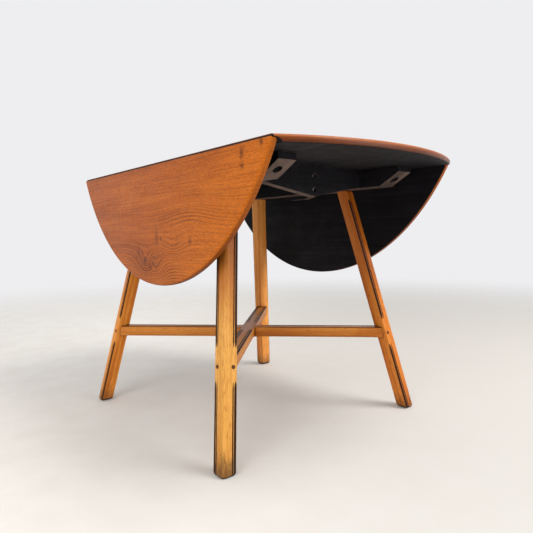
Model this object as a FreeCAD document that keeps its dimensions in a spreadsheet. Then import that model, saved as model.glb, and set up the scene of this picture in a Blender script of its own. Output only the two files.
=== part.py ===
"""Drop-leaf dining table: oval top with rule joints, splayed legs and crossed stretchers.

Millimetres. The origin is on the floor under the middle of the table, +X runs across the leaves,
+Y along the hinge lines and +Z up. At rest both leaves hang down.
"""
import FreeCAD
import Part
import Sketcher
import math
import os

# Driving dimensions: name, value, meaning.
DIMENSIONS = (
    ("table_height", 715, "floor to the top face"),
    ("top_half_width", 623, "middle to the edge across both raised leaves"),
    ("top_half_length", 567, "middle to the edge along the hinge lines"),
    ("top_thickness", 17, "boards of the top"),
    ("rim_top_round", 8, "rounding of the upper rim"),
    ("rim_under_round", 3, "rounding of the lower rim"),
    ("hinge_offset", 305, "middle to each hinge line"),
    ("rule_quirk", 3, "square step above the rule joint's quarter round"),
    ("rule_radius", 2.5, "quarter round of the rule joint"),
    ("rule_gap", 0.4, "clearance in the rule joint"),
    ("nose_radius", 12, "rounding of the leaf's lower edge at the hinge line"),
    ("nose_drop", 1.6, "that rounding below the pin when the leaf hangs"),
    ("hollow_radius", 17, "hollow under the middle board's edge, over that rounding"),
    ("hollow_gap", 1, "between that rounding and the top of the hollow"),
    ("bearer_inner_offset", 181, "middle to the inner face of a bearer"),
    ("bearer_width", 52, "bearer across"),
    ("bearer_height", 50, "bearer depth below the top"),
    ("bearer_half_length", 421, "middle to the bearer's end"),
    ("bearer_end_height", 16, "upright part of the bearer's end"),
    ("bearer_bevel_run", 62, "length of the sloped end"),
    ("bearer_screw_inset", 33, "bearer's end to its screw"),
    ("bearer_screw_cover", 14, "wood between the bearer screw's head and the top"),
    ("bearer_screw_bite", 9, "depth of the bearer screw in the top"),
    ("bearer_bore_radius", 11, "counterbore in the bearer's slope"),
    ("rail_face_offset", 293, "middle to the outer face of a cross rail"),
    ("rail_thickness", 25, "cross rail along the table"),
    ("rail_end_height", 46.5, "cross rail depth at the bearers"),
    ("rail_drop", 32.5, "extra depth in the middle of the cross rail"),
    ("rail_tenon_thickness", 11, "cross rail tenon along the table"),
    ("rail_tenon_height", 26, "cross rail tenon depth"),
    ("rail_tenon_length", 14, "cross rail tenon in the bearer"),
    ("rail_tenon_cover", 9, "wood above the cross rail tenon"),
    ("rail_block_width", 44, "block behind the cross rail, across"),
    ("rail_block_depth", 30, "block behind the cross rail, along"),
    ("rail_block_height", 68, "block behind the cross rail, down from the top"),
    ("rail_screw_drop", 25, "upper rail screw below the top's underside"),
    ("rail_screw_spacing", 36, "between the two rail screws"),
    ("rail_screw_bite", 20, "depth of a rail screw in its block"),
    ("rail_bore_radius", 6, "counterbore of a rail screw"),
    ("rail_bore_depth", 8, "depth of that counterbore"),
    ("leg_width", 36, "square leg"),
    ("leg_corner_round", 11, "outer corner of the leg"),
    ("leg_inset", 13, "bearer's inner face to a leg's inner face"),
    ("leg_top_along", 208, "middle to a leg's middle at its top, along"),
    ("foot_across", 329.5, "middle to a leg's middle on the floor, across"),
    ("foot_along", 340, "middle to a leg's middle on the floor, along"),
    ("leg_tenon_radius", 11, "round tenon on the leg"),
    ("leg_tenon_length", 30, "tenon in the bearer"),
    ("stretcher_level", 212, "floor to the stretchers' underside"),
    ("stretcher_height", 29, "stretcher depth"),
    ("stretcher_width", 40, "stretcher across"),
    ("stretcher_tenon_thickness", 14, "stretcher tenon across"),
    ("stretcher_tenon_height", 20, "stretcher tenon depth"),
    ("stretcher_tenon_reach", 8, "tenon past the leg's middle"),
    ("peg_radius", 4.5, "stretcher peg"),
    ("peg_inset", 10, "leg's inner edge to the peg's middle"),
    ("peg_spacing", 1, "wood between the two pegs of a tenon"),
    ("peg_proud", 0.9, "peg beyond the leg's face at its middle"),
    ("groove_inset", 3, "edge of a leg or stretcher to its broad groove"),
    ("groove_width", 4.5, "broad groove"),
    ("groove_bead", 2.2, "wood between the broad and the fine groove"),
    ("fine_groove_width", 2, "fine groove"),
    ("groove_depth", 2, "both grooves"),
    ("groove_top_stop", 25, "leg's top to its grooves"),
    ("groove_joint_stop", 38, "stretcher's middle to the ends of a leg's grooves"),
    ("groove_crossing_stop", 55, "middle of the table to the stretchers' grooves"),
    ("hinge_along", 300, "middle to a hinge along the table"),
    ("flap_width", 50, "hinge flap along the table"),
    ("fixed_flap_length", 30, "flap under the middle board"),
    ("leaf_flap_length", 38, "flap under the leaf"),
    ("flap_thickness", 2, "hinge plate"),
    ("flap_setback", 17, "hinge pin to the plate"),
    ("knuckle_radius", 2, "hinge knuckle"),
    ("outer_knuckle_length", 14, "each outer knuckle"),
    ("knuckle_gap", 0.3, "between knuckles"),
    ("knuckle_recess_gap", 0.4, "round a knuckle in the board"),
    ("hinge_pin_radius", 0.9, "hinge pin"),
    ("hinge_screw_head_radius", 3.4, "countersunk head"),
    ("hinge_screw_radius", 1.7, "hinge screw"),
    ("hinge_screw_length", 11, "hinge screw"),
    ("frame_screw_head_radius", 4.6, "pan head"),
    ("frame_screw_head_height", 3, "pan head"),
    ("frame_screw_radius", 2.4, "frame screw"),
    ("bracket_thickness", 22, "fly bracket across"),
    ("bracket_block_length", 104, "fixed block to the bracket pin"),
    ("bracket_pin_along", 61, "middle to the bracket pin along the table"),
    ("bracket_arm_length", 166, "bracket pin to the arm's end"),
    ("bracket_arm_belly", 12, "arm below the bearer at its finger grip"),
    ("bracket_knuckle_height", 18, "middle knuckle of the bracket"),
    ("bracket_pin_radius", 3, "bracket pin"),
    ("bracket_screw_spacing", 50, "between the screws of a fixed block"),
    ("bracket_screw_inset", 32, "fixed block's end to its first screw"),
    ("bracket_screw_bite", 24, "depth of a bracket screw in the bearer"),
    ("bracket_bore_depth", 6, "counterbore in the fixed block"),
    ("swing_clearance", 0.4, "round the swinging arm"),
    ("wood_clearance", 0.1, "glued and pegged joints"),
    ("metal_clearance", 0.05, "pins and screws in their holes"),
    ("overrun", 6, "cuts past a face"),
)

# Shares along the hinge flaps and the bracket arm.
NEAR_SCREW_SHARE = 0.3
FAR_SCREW_SHARE = 0.75
SIDE_SCREW_SHARE = 0.32
ARM_BELLY_START_SHARE = 0.3
ARM_BELLY_END_SHARE = 0.72

doc = FreeCAD.newDocument("DropLeafTable")
sheet = doc.addObject("Spreadsheet::Sheet", "Sizes")


class Size:
    """A length with its number and the sheet expression that gives it."""

    def __init__(self, number, text):
        self.number = number
        self.text = text

    def joined(self, other, sign, number):
        return Size(number, "(" + self.text + " " + sign + " " + other.text + ")")

    def __add__(self, other):
        other = as_size(other)
        return self.joined(other, "+", self.number + other.number)

    def __sub__(self, other):
        other = as_size(other)
        return self.joined(other, "-", self.number - other.number)

    def __mul__(self, other):
        other = as_size(other)
        return self.joined(other, "*", self.number * other.number)

    def __truediv__(self, other):
        other = as_size(other)
        return self.joined(other, "/", self.number / other.number)

    def __neg__(self):
        return Size(-self.number, "(-1 * " + self.text + ")")


def as_size(value):
    if isinstance(value, Size):
        return value
    return Size(float(value), repr(float(value)))


class Dimensions:
    """The sheet's sizes by name."""


def fill_sheet():
    sizes = Dimensions()
    for row, (name, value, meaning) in enumerate(DIMENSIONS, start=1):
        sheet.set("A" + str(row), name)
        sheet.set("B" + str(row), str(value))
        sheet.set("C" + str(row), meaning)
        sheet.setAlias("B" + str(row), name)
        setattr(sizes, name, Size(float(value), "Sizes." + name))
    doc.recompute()
    return sizes


s = fill_sheet()

# Levels and offsets that several pieces share.
underside = s.table_height - s.top_thickness
pin_level = s.table_height - s.rule_quirk - s.rule_radius
cove_radius = s.rule_radius + s.rule_gap
bearer_bottom = underside - s.bearer_height
bearer_outer = s.bearer_inner_offset + s.bearer_width
bearer_middle = s.bearer_inner_offset + s.bearer_width / 2
rail_inner_offset = s.rail_face_offset - s.rail_thickness
rail_middle_offset = s.rail_face_offset - s.rail_thickness / 2
leg_half = s.leg_width / 2
leg_top_across = s.bearer_inner_offset + s.leg_inset + leg_half
flap_half = s.flap_width / 2
middle_knuckle_half = flap_half - s.outer_knuckle_length - s.knuckle_gap
stretcher_middle = s.stretcher_level + s.stretcher_height / 2
fixed_start = s.hinge_offset - s.flap_setback
leaf_start = s.hinge_offset + s.flap_setback
bearer_seat = underside - s.bearer_screw_cover
bearer_screw_length = s.bearer_screw_cover + s.bearer_screw_bite
bearer_screw_along = s.bearer_half_length - s.bearer_screw_inset
bearer_screw_alongs = (bearer_screw_along, -bearer_screw_along)
rail_screw_length = s.rail_thickness - s.rail_bore_depth + s.rail_screw_bite

# Turns that carry a piece's own Z to the X, Y or Z axis.
AXIS_TURNS = {
    "x": FreeCAD.Rotation(FreeCAD.Vector(1, 1, 1), 120),
    "y": FreeCAD.Rotation(FreeCAD.Vector(1, 1, 1), 240),
    "z": FreeCAD.Rotation(),
}


def bind(item, **sizes):
    for name, size in sizes.items():
        item.setExpression(name, as_size(size).text)


def put(item, corner, turn=FreeCAD.Rotation()):
    item.Placement = FreeCAD.Placement(FreeCAD.Vector(), turn)
    for axis, size in zip("xyz", corner):
        item.setExpression("Placement.Base." + axis, as_size(size).text)
    return item


def box(low, high):
    item = doc.addObject("Part::Box", "Block")
    length, width, height = (as_size(last) - first for first, last in zip(low, high))
    bind(item, Length=length, Width=width, Height=height)
    return put(item, low)


def cylinder(radius, length, start, axis="z"):
    item = doc.addObject("Part::Cylinder", "Rod")
    bind(item, Radius=radius, Height=length)
    return put(item, start, AXIS_TURNS[axis])


def cone(first_radius, last_radius, length, start, axis="z"):
    item = doc.addObject("Part::Cone", "Taper")
    bind(item, Radius1=first_radius, Radius2=last_radius, Height=length)
    return put(item, start, AXIS_TURNS[axis])


def fuse(items):
    item = doc.addObject("Part::MultiFuse", "Joined")
    item.Shapes = items
    item.Refine = True
    return item


def group(items):
    item = doc.addObject("Part::Compound", "Set")
    item.Links = items
    return item


def cut(base, tools):
    item = doc.addObject("Part::Cut", "Cut")
    item.Base = base
    item.Tool = tools[0] if len(tools) == 1 else fuse(tools)
    item.Refine = True
    return item


def common(first, second):
    item = doc.addObject("Part::MultiCommon", "Shared")
    item.Shapes = [first, second]
    item.Refine = True
    return item


def origin_sketch(body, name):
    """An empty sketch on the body's own XY plane."""
    plane = [item for item in body.Origin.OriginFeatures if item.Role == "XY_Plane"][0]
    sketch = body.newObject("Sketcher::SketchObject", name)
    sketch.AttachmentSupport = [(plane, "")]
    sketch.MapMode = "FlatFace"
    return sketch


def point(place):
    return FreeCAD.Vector(place[0].number, place[1].number, 0)


def hold_point(sketch, line, end, place):
    """Tie one end of a line to the sketch's origin by two sheet sizes."""
    for kind, size in (("DistanceX", place[0]), ("DistanceY", place[1])):
        held = sketch.addConstraint(Sketcher.Constraint(kind, -1, 1, line, end, size.number))
        sketch.setExpression("Constraints[" + str(held) + "]", size.text)


def corner_sketch(body, name, corners):
    """A closed outline of straight lines whose corners are tied to the body's origin."""
    sketch = origin_sketch(body, name)
    places = [(as_size(first), as_size(second)) for first, second in corners]
    count = len(places)
    for index in range(count):
        sketch.addGeometry(Part.LineSegment(point(places[index]), point(places[(index + 1) % count])), False)
    for index in range(count):
        sketch.addConstraint(Sketcher.Constraint("Coincident", index, 2, (index + 1) % count, 1))
        hold_point(sketch, index, 1, places[index])
    return sketch


def prism(corners, start, length, axis):
    """An outline in the plane across an axis, padded along it: (y, z), (z, x) or (x, y) corners."""
    body = doc.addObject("PartDesign::Body", "Prism")
    sketch = corner_sketch(body, "Outline", corners)
    pad = body.newObject("PartDesign::Pad", "Pad")
    pad.Profile = sketch
    pad.setExpression("Length", as_size(length).text)
    return put(body, start, AXIS_TURNS[axis])


def named(item, label):
    item.Label = label
    nodes.append(item)
    return item


def half_turn(item, side):
    """Pieces are made on the right or front; the left and rear ones are turned about the middle."""
    if side in ("left", "rear"):
        item.Placement = FreeCAD.Placement(FreeCAD.Vector(), FreeCAD.Rotation(FreeCAD.Vector(0, 0, 1), 180))
    return item


def hang(item, side):
    """Turn a piece of the raised right leaf down about its hinge line, on either side."""
    down = FreeCAD.Rotation(FreeCAD.Vector(0, 1, 0), 90)
    if side == "right":
        return put(item, (s.hinge_offset - pin_level, 0, pin_level + s.hinge_offset), down)
    about = FreeCAD.Rotation(FreeCAD.Vector(0, 0, 1), 180)
    return put(item, (pin_level - s.hinge_offset, 0, pin_level + s.hinge_offset), about.multiply(down))


nodes = []


# The oval top

def oval_slab():
    """The whole oval, square edged, before it is parted at the hinge lines."""
    wide = s.top_half_width.number >= s.top_half_length.number
    outline = doc.addObject("Part::Ellipse", "Oval")
    bind(outline, MajorRadius=s.top_half_width if wide else s.top_half_length)
    bind(outline, MinorRadius=s.top_half_length if wide else s.top_half_width)
    turn = FreeCAD.Rotation(FreeCAD.Vector(0, 0, 1), 0 if wide else 90)
    put(outline, (0, 0, underside), turn)
    slab = doc.addObject("Part::Extrusion", "Slab")
    slab.Base = outline
    slab.DirMode = "Custom"
    slab.Dir = FreeCAD.Vector(0, 0, 1)
    slab.Solid = True
    bind(slab, LengthFwd=s.top_thickness)
    return slab


def oval_board(slab, low, high):
    """The part of the oval between two places across, with its curved rim rounded."""
    board = common(slab, box((low, -s.top_half_length - s.overrun, underside - s.overrun),
                             (high, s.top_half_length + s.overrun, s.table_height + s.overrun)))
    doc.recompute()
    rounded = doc.addObject("Part::Fillet", "Rim")
    rounded.Base = board
    rims = []
    for number, edge in enumerate(board.Shape.Edges, start=1):
        if isinstance(edge.Curve, Part.Ellipse):
            high = edge.BoundBox.ZMax > underside.number + s.top_thickness.number / 2
            radius = s.rim_top_round.number if high else s.rim_under_round.number
            rims.append((number, radius, radius))
    rounded.Edges = rims
    return rounded


def screw_places():
    """Countersunk screws of a hinge: share of the plate's length, place along the plate."""
    side = s.flap_width * SIDE_SCREW_SHARE
    return ((NEAR_SCREW_SHARE, -side), (NEAR_SCREW_SHARE, side), (FAR_SCREW_SHARE, as_size(0)))


def flap_screw(across, along, spare):
    """A countersunk screw driven up through a plate, or with spare room its hole."""
    head = cone(s.hinge_screw_head_radius + spare, s.hinge_screw_radius + spare, s.flap_thickness,
                (across, along, underside))
    shank = cylinder(s.hinge_screw_radius + spare, s.hinge_screw_length + spare, (across, along, underside))
    return fuse([head, shank])


def hinge_screws(start, direction, length, middle, spare):
    screws = []
    for share, along in screw_places():
        across = start + length * (direction * share)
        screws.append(flap_screw(across, middle + along, as_size(spare)))
    return screws


def panel_hinge_cuts(middle):
    """Room for one hinge in the middle board, right side."""
    low = middle - flap_half - s.knuckle_gap
    high = middle + flap_half + s.knuckle_gap
    plate = box((fixed_start - s.fixed_flap_length - s.knuckle_gap, low, underside - s.overrun),
                (fixed_start + s.wood_clearance, high, underside + s.flap_thickness))
    recess = cylinder(s.knuckle_radius + s.knuckle_recess_gap, high - low,
                      (s.hinge_offset, low, pin_level), "y")
    sweep = box((fixed_start, low, underside - s.overrun),
                (s.hinge_offset + s.rule_radius + s.overrun, high, pin_level))
    holes = hinge_screws(fixed_start, -1, s.fixed_flap_length, middle, s.metal_clearance)
    return [plate, recess, sweep] + holes


def hollow_cuts(length):
    """Room under the right edge of the middle board for the rounded edge of the hanging leaf."""
    start = -s.top_half_length - s.overrun
    level = pin_level - s.nose_drop + s.hollow_gap - s.hollow_radius
    below = box((s.hinge_offset, start, underside - s.overrun),
                (s.hinge_offset + s.rule_radius + s.overrun, start + length, pin_level))
    return [cylinder(s.hollow_radius, length, (s.hinge_offset, start, level), "y"), below]


def center_panel(slab):
    pieces = [box((-s.hinge_offset, -s.top_half_length - s.overrun, underside - s.overrun),
                  (s.hinge_offset, s.top_half_length + s.overrun, s.table_height + s.overrun))]
    length = s.top_half_length * 2 + s.overrun * 2
    for across in (s.hinge_offset, -s.hinge_offset):
        start = (across, -s.top_half_length - s.overrun, pin_level)
        pieces.append(cylinder(s.rule_radius, length, start, "y"))
    reach = s.hinge_offset + s.rule_radius + s.overrun
    board = common(oval_board(slab, -reach, reach), fuse(pieces))
    tools = []
    for side in ("right", "left"):
        tools += [half_turn(group([tool]), side) for tool in hollow_cuts(length)]
        for middle in (s.hinge_along, -s.hinge_along):
            tools.append(half_turn(fuse(panel_hinge_cuts(middle)), side))
        for along in bearer_screw_alongs:
            hole = cylinder(s.frame_screw_radius + s.metal_clearance, s.bearer_screw_bite + s.overrun,
                            (bearer_middle, along, underside - s.overrun))
            tools.append(half_turn(group([hole]), side))
    return named(cut(board, tools), "center_panel")


def leaf(slab, side):
    """A leaf, made raised on the right and then hung."""
    board = oval_board(slab, s.hinge_offset + s.rule_gap, s.top_half_width + s.overrun)
    length = s.top_half_length * 2 + s.overrun * 2
    cove = cylinder(cove_radius, length, (s.hinge_offset, -s.top_half_length - s.overrun, pin_level), "y")
    nose_middle = s.hinge_offset + s.nose_drop + s.nose_radius
    square = box((s.hinge_offset - s.overrun, -s.top_half_length - s.overrun, underside - s.overrun),
                 (nose_middle, s.top_half_length + s.overrun, pin_level))
    nose = cylinder(s.nose_radius, length, (nose_middle, -s.top_half_length - s.overrun, pin_level), "y")
    tools = [cove, cut(square, [nose])]
    for middle in (s.hinge_along, -s.hinge_along):
        tools.append(box((s.hinge_offset, middle - flap_half - s.knuckle_gap, underside - s.overrun),
                         (s.hinge_offset + pin_level - underside + s.knuckle_gap,
                          middle + flap_half + s.knuckle_gap, pin_level)))
        tools.append(box((s.hinge_offset, middle - flap_half - s.knuckle_gap, underside - s.overrun),
                         (leaf_start + s.leaf_flap_length + s.knuckle_gap, middle + flap_half + s.knuckle_gap,
                          underside + s.flap_thickness)))
        tools += hinge_screws(leaf_start, 1, s.leaf_flap_length, middle, s.metal_clearance)
    return named(hang(cut(board, tools), side), side + "_leaf")


# Rule joint hinges

def knuckle(low, high):
    return cylinder(s.knuckle_radius, high - low, (s.hinge_offset, low, pin_level), "y")


def pin_hole(middle):
    return cylinder(s.hinge_pin_radius + s.metal_clearance, s.flap_width + s.overrun * 2,
                    (s.hinge_offset, middle - flap_half - s.overrun, pin_level), "y")


def fixed_flap(side, place, middle):
    """The plate under the middle board, with the two outer knuckles."""
    top = underside + s.flap_thickness
    pieces = [box((fixed_start - s.fixed_flap_length, middle - flap_half, underside),
                  (fixed_start, middle + flap_half, top))]
    for low in (middle - flap_half, middle + flap_half - s.outer_knuckle_length):
        high = low + s.outer_knuckle_length
        pieces.append(box((fixed_start, low, underside), (s.hinge_offset, high, top)))
        inner = s.hinge_offset - s.knuckle_radius
        pieces.append(box((inner, low, underside), (s.hinge_offset, high, pin_level)))
        pieces.append(knuckle(low, high))
    tools = [pin_hole(middle)] + hinge_screws(fixed_start, -1, s.fixed_flap_length, middle, s.metal_clearance)
    return named(half_turn(cut(fuse(pieces), tools), side), side + "_" + place + "_fixed_flap")


def leaf_flap(side, place, middle):
    """The plate under the leaf, with the middle knuckle."""
    top = underside + s.flap_thickness
    low = middle - middle_knuckle_half
    high = middle + middle_knuckle_half
    pieces = [box((leaf_start, middle - flap_half, underside),
                  (leaf_start + s.leaf_flap_length, middle + flap_half, top)),
              box((s.hinge_offset, low, underside), (leaf_start, high, top)),
              box((s.hinge_offset, low, underside), (s.hinge_offset + s.knuckle_radius, high, pin_level)),
              knuckle(low, high)]
    tools = [pin_hole(middle)] + hinge_screws(leaf_start, 1, s.leaf_flap_length, middle, s.metal_clearance)
    return named(hang(cut(fuse(pieces), tools), side), side + "_" + place + "_leaf_flap")


def hinges():
    fixed_screws = []
    for side in ("right", "left"):
        leaf_screws = []
        for place, middle in (("front", -s.hinge_along), ("rear", s.hinge_along)):
            # The left pieces are the right ones turned half round, so front and rear change places.
            end = middle if side == "right" else -middle
            fixed_flap(side, place, end)
            leaf_flap(side, place, end)
            pin = cylinder(s.hinge_pin_radius, s.flap_width, (s.hinge_offset, end - flap_half, pin_level), "y")
            named(half_turn(group([pin]), side), side + "_" + place + "_hinge_pin")
            for screw in hinge_screws(fixed_start, -1, s.fixed_flap_length, end, 0):
                fixed_screws.append(half_turn(screw, side))
            leaf_screws += hinge_screws(leaf_start, 1, s.leaf_flap_length, end, 0)
        named(hang(group(leaf_screws), side), side + "_leaf_hinge_screws")
    named(group(fixed_screws), "panel_hinge_screws")


# Underframe

def frame_screw(start, length, axis, spare, bore_radius=None, bore_depth=None):
    """A pan head screw whose head seats at start; with a bore it is the hole for one."""
    x, y, z = start
    shank = cylinder(s.frame_screw_radius + spare, length + spare, start, axis)
    if bore_radius is None:
        depth = s.frame_screw_head_height
        radius = s.frame_screw_head_radius
    else:
        depth = bore_depth
        radius = bore_radius
    back = {"x": (x - depth, y, z), "y": (x, y - depth, z), "z": (x, y, z - depth)}[axis]
    return fuse([shank, cylinder(radius, depth, back, axis)])


def rail_tenon_box(spare, face):
    """Tenon at the right end of the front rail, or with spare room its mortise."""
    top = underside - s.rail_tenon_cover + spare
    half = s.rail_tenon_thickness / 2 + spare
    return box((face, -rail_middle_offset - half, top - s.rail_tenon_height - spare * 2),
               (s.bearer_inner_offset + s.rail_tenon_length + spare, half - rail_middle_offset, top))


def bearer(side):
    half = s.bearer_half_length
    slope = half - s.bearer_bevel_run
    shoulder = underside - s.bearer_end_height
    outline = ((-half, underside), (-half, shoulder), (-slope, bearer_bottom), (slope, bearer_bottom),
               (half, shoulder), (half, underside))
    beam = prism(outline, (s.bearer_inner_offset, 0, 0), s.bearer_width, "x")
    tools = []
    for along in bearer_screw_alongs:
        tools.append(frame_screw((bearer_middle, along, bearer_seat), bearer_screw_length, "z",
                                 s.metal_clearance, s.bearer_bore_radius, s.bearer_height))
    bore_depth = s.leg_tenon_length + s.wood_clearance + s.overrun
    for along in (s.leg_top_along, -s.leg_top_along):
        tools.append(cylinder(s.leg_tenon_radius + s.wood_clearance, bore_depth,
                              (leg_top_across, along, bearer_bottom - s.overrun)))
    front = rail_tenon_box(s.wood_clearance, s.bearer_inner_offset - s.overrun)
    rear = rail_tenon_box(s.wood_clearance, s.bearer_inner_offset - s.overrun)
    rear_face = rail_middle_offset - s.rail_tenon_thickness / 2 - s.wood_clearance
    rear.setExpression("Placement.Base.y", rear_face.text)
    tools += [front, rear]
    pilot_depth = s.bracket_screw_bite + s.metal_clearance
    for x, y, z in bracket_screw_starts():
        tools.append(cylinder(s.frame_screw_radius + s.metal_clearance, pilot_depth + s.overrun,
                              (bearer_outer - pilot_depth, y, z), "x"))
    return named(half_turn(cut(beam, tools), side), side + "_bearer")


def rail_screw_starts():
    levels = (underside - s.rail_screw_drop, underside - s.rail_screw_drop - s.rail_screw_spacing)
    return [(as_size(0), s.rail_bore_depth - s.rail_face_offset, level) for level in levels]


def cross_rail(place):
    """A rail between the bearers, deepest in the middle, with a tenon at each end."""
    reach = s.bearer_inner_offset
    low = underside - s.rail_end_height
    outline = ((underside, -reach), (underside, reach), (low, reach), (low - s.rail_drop, 0), (low, -reach))
    board = prism(outline, (0, -s.rail_face_offset, 0), s.rail_thickness, "y")
    right = rail_tenon_box(as_size(0), s.bearer_inner_offset)
    left = rail_tenon_box(as_size(0), s.bearer_inner_offset)
    left.setExpression("Placement.Base.x", (-s.bearer_inner_offset - s.rail_tenon_length).text)
    holes = [frame_screw(start, rail_screw_length, "y", s.metal_clearance, s.rail_bore_radius,
                         s.rail_bore_depth + s.overrun) for start in rail_screw_starts()]
    return named(half_turn(cut(fuse([board, right, left]), holes), place), place + "_cross_rail")


def rail_block(place):
    """The block glued under the top and screwed to the middle of a cross rail."""
    half = s.rail_block_width / 2
    block = box((-half, -rail_inner_offset, underside - s.rail_block_height),
                (half, -rail_inner_offset + s.rail_block_depth, underside))
    holes = [frame_screw(start, rail_screw_length, "y", s.metal_clearance) for start in rail_screw_starts()]
    return named(half_turn(cut(block, holes), place), place + "_rail_block")


def frame_screws():
    rails = []
    bearers = []
    for place in ("front", "rear"):
        for start in rail_screw_starts():
            rails.append(half_turn(frame_screw(start, rail_screw_length, "y", as_size(0)), place))
    for side in ("right", "left"):
        for along in bearer_screw_alongs:
            screw = frame_screw((bearer_middle, along, bearer_seat), bearer_screw_length, "z", as_size(0))
            bearers.append(half_turn(screw, side))
    named(group(rails), "rail_screws")
    named(group(bearers), "bearer_screws")


# Fly brackets that carry the raised leaves

pin_across = bearer_outer + s.bracket_thickness / 2
pin_along = -s.bracket_pin_along
block_start = pin_along - s.bracket_block_length
bracket_outer = bearer_outer + s.bracket_thickness
knuckle_low = bearer_bottom + s.bearer_height / 2 - s.bracket_knuckle_height / 2
knuckle_high = knuckle_low + s.bracket_knuckle_height
arm_radius = s.bracket_thickness / 2 - s.swing_clearance


def bracket_screw_starts():
    level = underside - s.bearer_height / 2
    first = block_start + s.bracket_screw_inset
    seat = bracket_outer - s.bracket_bore_depth
    return [(seat, along, level) for along in (first, first + s.bracket_screw_spacing)]


def outward_screw(start, spare, bored):
    """A screw driven inwards, towards the bearer, from a fixed block's outer face."""
    x, y, z = start
    reach = s.bracket_thickness - s.bracket_bore_depth + s.bracket_screw_bite + spare
    shank = cylinder(s.frame_screw_radius + spare, reach, (x - reach, y, z), "x")
    depth = s.bracket_bore_depth + s.overrun if bored else s.frame_screw_head_height
    radius = s.rail_bore_radius if bored else s.frame_screw_head_radius
    return fuse([shank, cylinder(radius, depth, (x, y, z), "x")])


def bracket_pin_hole():
    low = bearer_bottom - s.bracket_arm_belly - s.overrun
    return cylinder(s.bracket_pin_radius + s.metal_clearance, underside + s.overrun - low,
                    (pin_across, pin_along, low))


def bracket(side):
    """Fixed block, swinging arm and upright pin of one fly bracket."""
    half = s.bracket_thickness / 2
    block = fuse([box((bearer_outer, block_start, bearer_bottom), (bracket_outer, pin_along, underside)),
                  cylinder(half, s.bearer_height, (pin_across, pin_along, bearer_bottom))])
    room = cylinder(half + s.swing_clearance, s.bracket_knuckle_height + s.swing_clearance * 2,
                    (pin_across, pin_along, knuckle_low - s.swing_clearance))
    holes = [outward_screw(start, s.metal_clearance, True) for start in bracket_screw_starts()]
    named(half_turn(cut(block, [room, bracket_pin_hole()] + holes), side), side + "_bracket_block")

    top = underside - s.swing_clearance
    length = s.bracket_arm_length
    belly = bearer_bottom - s.bracket_arm_belly
    belly_start = pin_along + length * ARM_BELLY_START_SHARE
    belly_end = pin_along + length * ARM_BELLY_END_SHARE
    outline = ((pin_along, top), (pin_along, bearer_bottom), (belly_start, belly), (belly_end, belly),
               (pin_along + length, bearer_bottom), (pin_along + length, top))
    arm = fuse([prism(outline, (bearer_outer + s.swing_clearance, 0, 0), arm_radius * 2, "x"),
                cylinder(arm_radius, s.bracket_knuckle_height, (pin_across, pin_along, knuckle_low))])
    hollow = half + s.swing_clearance
    above = cylinder(hollow, underside - knuckle_high + s.overrun, (pin_across, pin_along, knuckle_high))
    below = cylinder(hollow, knuckle_low - belly + s.overrun, (pin_across, pin_along, belly - s.overrun))
    named(half_turn(cut(arm, [above, below, bracket_pin_hole()]), side), side + "_bracket_arm")

    pin = cylinder(s.bracket_pin_radius, s.bearer_height, (pin_across, pin_along, bearer_bottom))
    named(half_turn(group([pin]), side), side + "_bracket_pin")
    screws = [outward_screw(start, as_size(0), False) for start in bracket_screw_starts()]
    named(half_turn(group(screws), side), side + "_bracket_screws")


# Legs and stretchers

def leg_place(level):
    """The leg's middle at a level, for the rear right leg."""
    fall = (bearer_bottom - level) / bearer_bottom
    across = leg_top_across + (s.foot_across - leg_top_across) * fall
    along = s.leg_top_along + (s.foot_along - s.leg_top_along) * fall
    return across, along


joint_across, joint_along = leg_place(stretcher_middle)
LEG_SIDES = {"front_left": (-1, -1), "front_right": (1, -1), "rear_left": (-1, 1), "rear_right": (1, 1)}


def leg_section(body, signs):
    """The leg's square at the foot; the corner away from the table's middle is an arc."""
    sketch = origin_sketch(body, "Section")
    radius = s.leg_corner_round
    inner_across = s.foot_across - leg_half
    outer_across = s.foot_across + leg_half
    inner_along = s.foot_along - leg_half
    outer_along = s.foot_along + leg_half
    outline = ((outer_across, outer_along - radius), (outer_across, inner_along), (inner_across, inner_along),
               (inner_across, outer_along), (outer_across - radius, outer_along))
    places = [(across * signs[0], along * signs[1]) for across, along in outline]
    for here, there in zip(places, places[1:]):
        line = sketch.addGeometry(Part.LineSegment(point(here), point(there)), False)
        hold_point(sketch, line, 1, here)
        hold_point(sketch, line, 2, there)
    side_end = places[0]
    end_end = places[-1]
    center = point((end_end[0], side_end[1]))
    quarter = FreeCAD.Vector(signs[0], signs[1], 0).normalize() * radius.number
    arc = sketch.addGeometry(Part.Arc(point(end_end), center + quarter, point(side_end)), False)
    # An arc of the sketch always runs anticlockwise, so its first end depends on the corner.
    ends = (1, 2) if signs[0] * signs[1] < 0 else (2, 1)
    sketch.addConstraint(Sketcher.Constraint("Coincident", 3, 2, arc, ends[0]))
    sketch.addConstraint(Sketcher.Constraint("Coincident", 0, 1, arc, ends[1]))
    held = sketch.addConstraint(Sketcher.Constraint("Radius", arc, radius.number))
    sketch.setExpression("Constraints[" + str(held) + "]", radius.text)
    return sketch


def leg_body(signs):
    """A square leg padded from its foot along the splay, its outer corner rounded."""
    body = doc.addObject("PartDesign::Body", "Leg")
    return splay(body, leg_section(body, signs), signs)


def splay(body, section, signs):
    """Pad a section at the floor along a leg's slope, up to the bearer."""
    pad = body.newObject("PartDesign::Pad", "Splay")
    pad.Profile = section
    pad.UseCustomVector = True
    pad.Direction = FreeCAD.Vector((leg_top_across - s.foot_across).number * signs[0],
                                   (s.leg_top_along - s.foot_along).number * signs[1], bearer_bottom.number)
    pad.AlongSketchNormal = True
    pad.setExpression("Length", bearer_bottom.text)
    return body


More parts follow.
